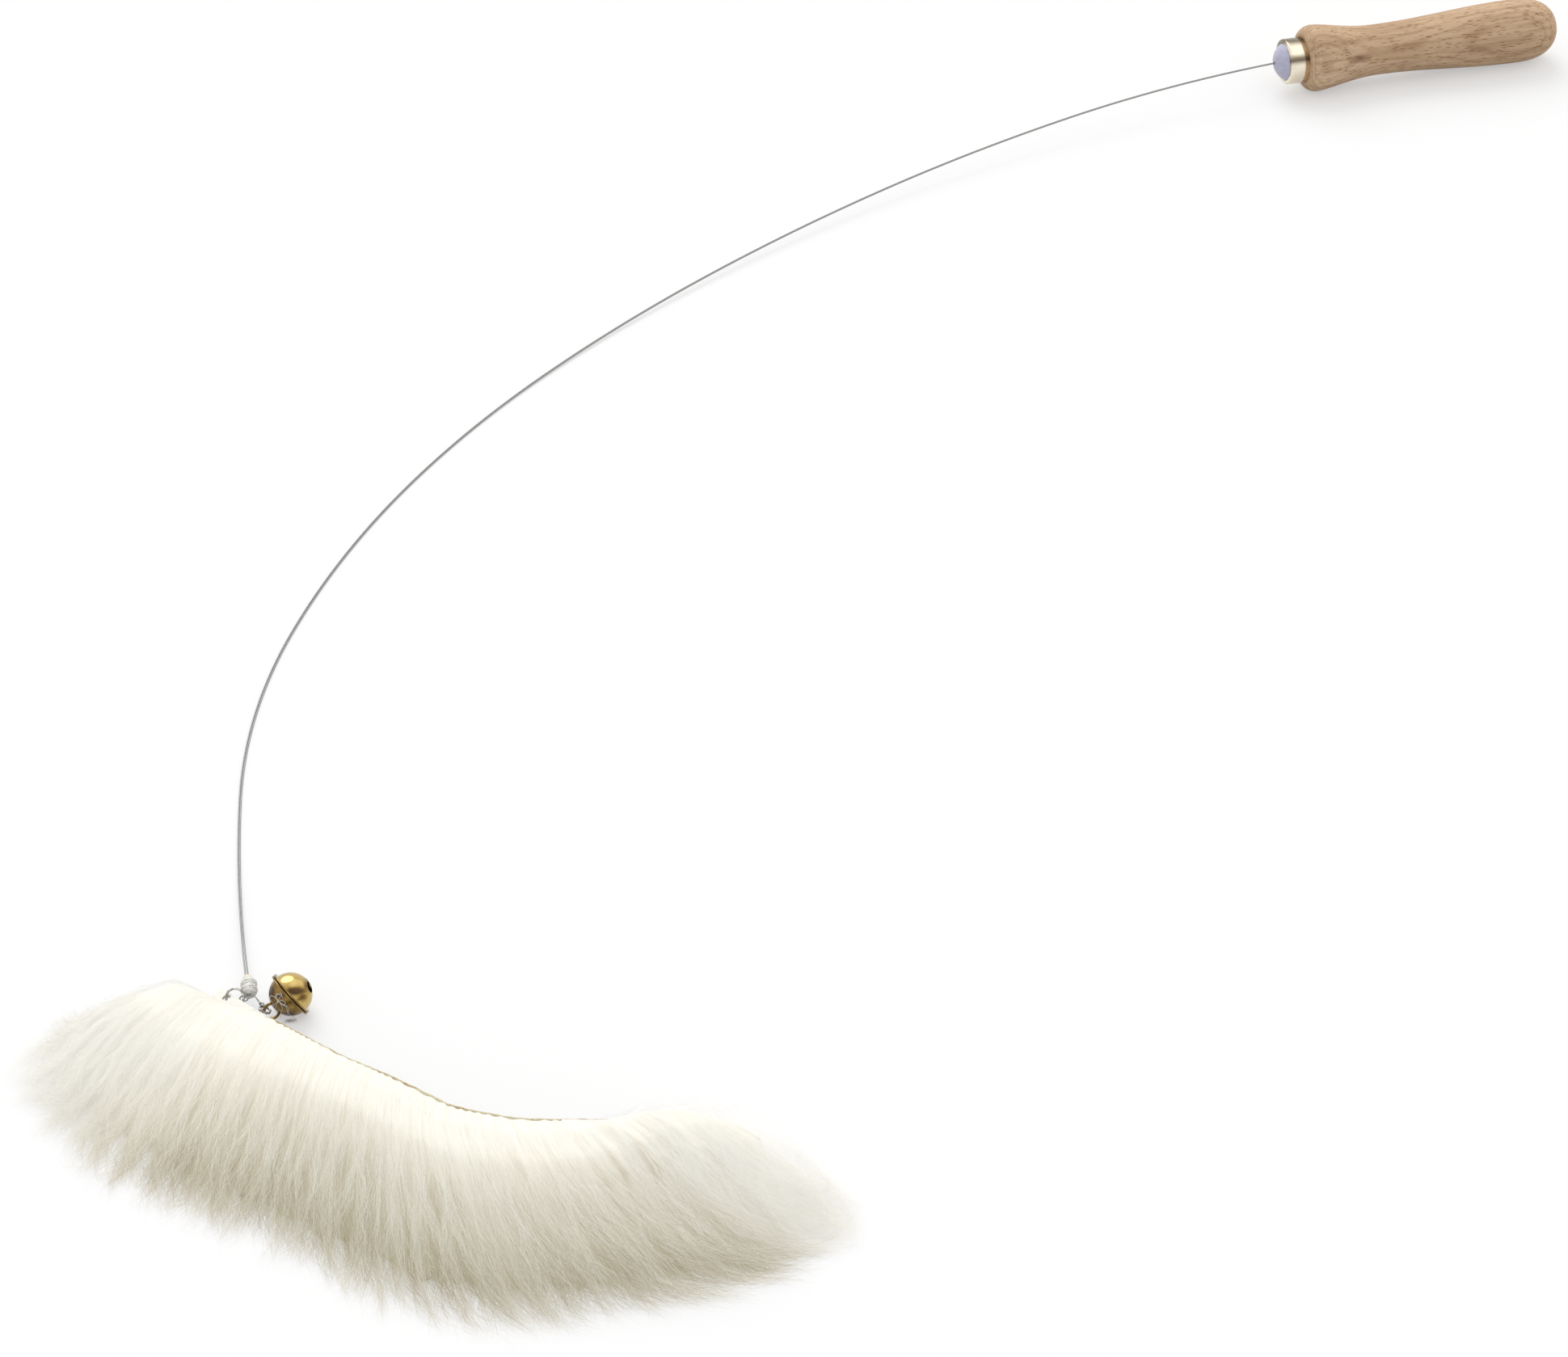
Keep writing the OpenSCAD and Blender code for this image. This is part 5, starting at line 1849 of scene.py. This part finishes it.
def hairGroup(h):
    group, entry = newGroup("combedHair", {
        "Outer": "Object", "Inner": "Object", "Points": 9, "Radius": 0.0001, "Start Low": 0.0,
        "Start High": 0.3, "Length Low": 0.7, "Length High": 1.0, "Big Locks": 70.0, "Big Pull": 0.6,
        "Small Locks": 300.0, "Small Pull": 0.6, "Wave": 0.004, "Lock Wave": 1.0, "Flow Power": 1.6,
        "Depth Low": 0.5, "Depth High": 1.0, "Frizz": 0.001, "Crimp": 4.0, "Lock Length": 0.1,
        "Sheet Reach": 1.2, "Puff Root": 0.14, "Seed": 1})
    calc, plus, minus, times, timesPlus, power = mathsFor(group)
    vector = partial(vectorMath, group)
    read = partial(readAttribute, group)
    smooth = {"interpolation_type": "SMOOTHSTEP"}

    def hairChance(shift, low=0.0, high=1.0):
        inputs = {2: low, 3: high, 8: plus(entry["Seed"], float(shift))}
        return addNode(group, "FunctionNodeRandomValue", inputs, data_type="FLOAT").outputs[1]

    def lockChance(index, use):
        inputs = {"W": plus(index, h["chances"][use])}
        return addNode(group, "ShaderNodeTexWhiteNoise", inputs, noise_dimensions="1D").outputs[0]

    def lockPlace(index, count, use):
        wander = timesPlus(lockChance(index, use), *h["lockWander"])
        return calc("DIVIDE", plus(index, wander), entry[count])

    # roots: one hair on each point, with its own chances
    points = entry["Geometry"]
    for name, value in {
            "hairChance": hairChance(0), "hairLength": hairChance(2), "hairSeed": hairChance(3, 0.0, 400.0),
            "hairDepth": hairChance(1, entry["Depth Low"], entry["Depth High"]),
            "hairStart": hairChance(4, entry["Start Low"], entry["Start High"])}.items():
        points = storeAttribute(group, points, name, value)
    inputs = {"Start": (0, 0, 0), "End": (0, 0, 0.01)}
    line = addNode(group, "GeometryNodeCurvePrimitiveLine", inputs).outputs[0]
    inputs = {"Curve": line, "Count": entry["Points"]}
    strand = addNode(group, "GeometryNodeResampleCurve", inputs).outputs[0]
    inputs = {"Points": points, "Instance": strand}
    placed = addNode(group, "GeometryNodeInstanceOnPoints", inputs).outputs[0]
    hairs = addNode(group, "GeometryNodeRealizeInstances", {"Geometry": placed}).outputs[0]
    share = addNode(group, "GeometryNodeSplineParameter").outputs["Factor"]
    names = ("combPlace", "combFade", "hairDepth", "hairSeed", "hairStart", "hairChance")
    place, fade, depth, seed, start, chance = [read(name) for name in names]
    big = calc("FLOOR", times(place, entry["Big Locks"]))
    small = calc("FLOOR", times(place, entry["Small Locks"]))

    # t has a reach for each hair and each lock
    spread = minus(entry["Length High"], entry["Length Low"])
    reach = timesPlus(power(read("hairLength"), h["lengthPower"]), spread, entry["Length Low"])
    reach = times(reach, timesPlus(minus(lockChance(big, "length"), 0.6), entry["Lock Length"], 1.0))
    t = calc("MAXIMUM", timesPlus(share, minus(reach, start), start), h["leastReach"])
    gather = rangeNode(group, t, {"From Min": h["gatherFrom"], "From Max": 1.0}, **smooth)

    # u is pulled together toward the ends, in small and in big locks, and waves a little
    smallPlace = lockPlace(small, "Small Locks", "smallPlace")
    bigPlace = lockPlace(big, "Big Locks", "bigPlace")
    u = timesPlus(minus(smallPlace, place), times(gather, entry["Small Pull"]), place)
    pull = times(power(gather, h["bigPullPower"]), entry["Big Pull"])
    pull = times(pull, timesPlus(lockChance(big, "pull"), *h["bigPullSpread"]))
    u = timesPlus(minus(bigPlace, u), pull, u)
    lockWave = times(entry["Wave"], entry["Lock Wave"])
    waves = ("hair", seed, entry["Wave"]), ("small", small, lockWave), ("big", big, lockWave)
    for name, index, amount in waves:
        speed, step, shift, part = h["waves"][name]
        noise = lineNoise(group, plus(times(t, speed), timesPlus(index, step, shift)), 1.0)[0]
        u = timesPlus(times(minus(noise, 0.5), times(t, 2.0)), times(amount, part), u)
    u = timesPlus(power(t, entry["Flow Power"]), read("combFlow"), u)
    u = clampNode(group, u, *h["edges"])

    # level is the height between the inner sheet at 0 and the outer one at 1
    over, least = h["rise"]
    level = times(depth, rangeNode(group, minus(t, start), {"From Max": over, "To Min": least}, **smooth))
    bigLift = times(minus(lockChance(big, "bigLift"), 0.6), h["bigLift"])
    smallLift = times(minus(lockChance(small, "smallLift"), 0.5), h["smallLift"])
    lift = times(plus(bigLift, smallLift), gather)
    level = clampNode(group, plus(level, times(lift, level)), 0.0, h["highest"])
    puffed = times(read("combPuff"), rangeNode(group, t, {"From Max": entry["Puff Root"]}))
    full = timesPlus(puffed, level, level)

    # both sheets are read through their comb maps at u and t
    spot = combineNode(group, u, calc("DIVIDE", t, entry["Sheet Reach"]))
    chart = read("combMap", "FLOAT_VECTOR")

    def sheetValue(sheet, kind):
        inputs = {"Object": entry[sheet]}
        info = addNode(group, "GeometryNodeObjectInfo", inputs, transform_space="RELATIVE")
        inputs = {"Mesh": info.outputs["Geometry"], "Value": addNode(group, kind).outputs[0],
                  "UV Map": chart, "Sample UV": spot}
        return addNode(group, "GeometryNodeSampleUVSurface", inputs, data_type="FLOAT_VECTOR").outputs[0]

    low = sheetValue("Inner", "GeometryNodeInputPosition")
    high = sheetValue("Outer", "GeometryNodeInputPosition")
    coatFacing = sheetValue("Outer", "GeometryNodeInputNormal")
    position = vector("ADD", low, vector("SCALE", vector("SUBTRACT", high, low), Scale=full))
    color = lineNoise(group, timesPlus(t, entry["Crimp"], seed), 2.0)[1]
    frizz = vector("SUBTRACT", color, (0.5, 0.5, 0.5))
    position = vector("ADD", position, vector("SCALE", frizz, Scale=times(times(entry["Frizz"], 2.0), t)))
    flat = addNode(group, "ShaderNodeSeparateXYZ", {0: position}).outputs
    lowest = timesPlus(chance, *h["floorGaps"])
    position = combineNode(group, flat[0], flat[1], calc("MAXIMUM", flat[2], lowest))
    hairs = addNode(group, "GeometryNodeSetPosition", {"Geometry": hairs, "Position": position}).outputs[0]

    # tones: painted shade down the coat, painted shade for hairs deep below its surface, and painted shade
    # in the gaps at the sides of a lock
    deepShade = timesPlus(minus(1.0, fade), h["fadedTone"], level)
    aside = times(calc("ABSOLUTE", minus(bigPlace, place)), times(entry["Big Locks"], h["sideSlope"]))
    aside = plus(aside, timesPlus(lockChance(big, "side"), *h["sideSpread"]))
    hairs = storeAttribute(group, hairs, "hairTone", times(t, fade))
    hairs = storeAttribute(group, hairs, "hairDeep", deepShade)
    hairs = storeAttribute(group, hairs, "hairSide", times(times(aside, gather), fade))
    hairs = storeAttribute(group, hairs, "coatFacing", coatFacing, "FLOAT_VECTOR")

    # each hair tapers, is a little flat and lies flat on the coat
    taperPower, taperDepth = h["taper"]
    taper = minus(1.0, times(power(share, taperPower), taperDepth))
    thick = times(times(entry["Radius"], taper), timesPlus(chance, *h["thickness"]))
    inputs = {"Curve": hairs, "Normal": coatFacing}
    hairs = addNode(group, "GeometryNodeSetCurveNormal", inputs, mode="FREE").outputs[0]
    inputs = {"Geometry": circleNode(group, 3), "Scale": (h["flatness"], 1.0, 1.0)}
    ring = addNode(group, "GeometryNodeTransform", inputs).outputs[0]
    return finishGroup(group, sweepNode(group, hairs, ring, thick), entry["Material"])


def faceWithCoat(mesh):
    count = len(mesh.vertices)
    coat = [0.0] * count * 3
    own = [0.0] * count * 3
    mesh.attributes["coatFacing"].data.foreach_get("vector", coat)
    mesh.vertices.foreach_get("normal", own)
    share = furSettings["coatShare"]
    normals = []
    for i in range(0, 3 * count, 3):
        normals.append((Vector(coat[i:i + 3]) * share + Vector(own[i:i + 3]) * (1 - share)).normalized())
    smoothFaces(mesh)
    mesh.normals_split_custom_set_from_vertices(normals)


def addHairs(name, group, style, low, high, count, seed, material):
    random.seed(seed)
    source = addPoints("hairRoots", [(0, 0, 0)] * count, joined=False)
    places = [low + (high - low) * (i + random.random()) / count for i in range(count)]
    pointAttribute(source, "combPlace", places)
    pointAttribute(source, "combFlow", [flowAt(place) for place in places])
    pointAttribute(source, "combPuff", [puffAt(place) for place in places])
    # share of painted shade at each root's place
    pointAttribute(source, "combFade", [paintedShadeShare(place, 1.0) for place in places])
    values = {key: value for key, value in style.items() if key != "count"}
    values.update({"Flow Power": furSettings["flowPower"], "Puff Root": furSettings["puffRoot"],
                   "Sheet Reach": combSettings["reachMore"], "Outer": outerSheet, "Inner": innerSheet,
                   "Seed": seed, "Material": material})
    obj = bakeGroup(name, source, group, values)
    faceWithCoat(obj.data)
    for key in ("combPlace", "combFlow", "combPuff", "combFade", "hairDepth", "hairLength", "hairSeed",
                "hairStart", "coatFacing"):
        if key in obj.data.attributes:
            obj.data.attributes.remove(obj.data.attributes[key])
    attach(obj, "lure", "fur")
    return obj


def addFur(f):
    group = hairGroup(hairSettings)
    plainTone = hairMaterial("furHair", 0.8)
    paleTone = hairMaterial("furPaleHair", 0.25)
    for k in range(f["pieces"]):
        low, high = k / f["pieces"], (k + 1) / f["pieces"]
        for name, style in f["sets"].items():
            count = int(style["count"] / f["pieces"] * f["denser"].get(k, 1.0))
            seed = f["seed"] + f["seedStep"] * k + len(name)
            tone = paleTone if name in f["paleSets"] else plainTone
            piece = addHairs("fur%s_%d" % (name, k + 1), group, style, low, high, count, seed, tone)
            piece.visible_shadow = name not in f["shadeless"]
            piece.visible_diffuse = False
    print("hairs", len(piece.data.polygons))


addFur(furSettings)
dropObject(outerSheet)
dropObject(innerSheet)


# Stage: a plain pale floor and soft studio light
stageSettings = {
    "floor": 6.0,
    "floorTone": 0.62,
    "floorSeen": 0.5,
    "floorGlow": 0.432,
    "world": 0.75,
    "worldSeen": 1.0,
    "keyLight": {"from": (-0.5, 1.3, 1.5), "wide": 44.0, "strength": 1.3},
    "fillLight": {"from": (1.1, 0.3, 1.7), "wide": 70.0, "strength": 0.35},
}


def anyRay(tree, *kinds):
    rays = addNode(tree, "ShaderNodeLightPath").outputs
    either = rays[kinds[0]]
    for kind in kinds[1:]:
        either = mathNode(tree, "MAXIMUM", either, rays[kind])
    return either


def addFloor(s):
    half = s["floor"] / 2
    corners = [(-half, -half, 0), (half, -half, 0), (half, half, 0), (-half, half, 0)]
    floor = addMesh("paleFloor", corners, [(0, 1, 2, 3)], smooth=False)
    material, tree = newMaterial("floorPaper")
    seen = anyRay(tree, "Is Camera Ray", "Is Glossy Ray")
    tones = [(tone, tone, tone, 1.0) for tone in (s["floorTone"], s["floorSeen"])]
    glow = mathNode(tree, "MULTIPLY", seen, s["floorGlow"])
    setMaterial(floor, finishMaterial(material, {
        "Base Color": mixNode(tree, seen, *tones), "Roughness": 1.0, "Specular IOR Level": 0.0,
        "Emission Color": (1, 1, 1, 1), "Emission Strength": glow}))
    return floor


def addLamp(name, s):
    data = bpy.data.lights.new(name, "SUN")
    data.energy = s["strength"]
    data.angle = math.radians(s["wide"])
    lamp = linkObject(name, data)
    lamp.location = s["from"]
    lamp.rotation_euler = (-Vector(s["from"])).to_track_quat("-Z", "Y").to_euler()
    return lamp


def addStage(s):
    world = bpy.data.worlds.new("studio")
    world.use_nodes = True
    tree = world.node_tree
    back = tree.nodes["Background"]
    back.inputs["Color"].default_value = (1, 1, 1, 1)
    seen = anyRay(tree, "Is Camera Ray", "Is Glossy Ray", "Is Transmission Ray")
    strength = rangeNode(tree, seen, {"To Min": s["world"], "To Max": s["worldSeen"]})
    tree.links.new(strength, back.inputs["Strength"])
    bpy.context.scene.world = world
    bpy.context.scene.view_settings.view_transform = "Standard"
    floor = addFloor(s)
    keyLight = addLamp("keyLight", s["keyLight"])
    fillLight = addLamp("fillLight", s["fillLight"])
    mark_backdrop(floor, keyLight, fillLight)


addStage(stageSettings)
print("stage set")
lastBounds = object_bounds()


def plain(value):
    if isinstance(value, dict):
        return {k: plain(v) for k, v in value.items()}
    if isinstance(value, (list, tuple, Vector)):
        return [plain(v) for v in value]
    return value


{"cad": plain(firstBounds), "visual": plain(lastBounds)}
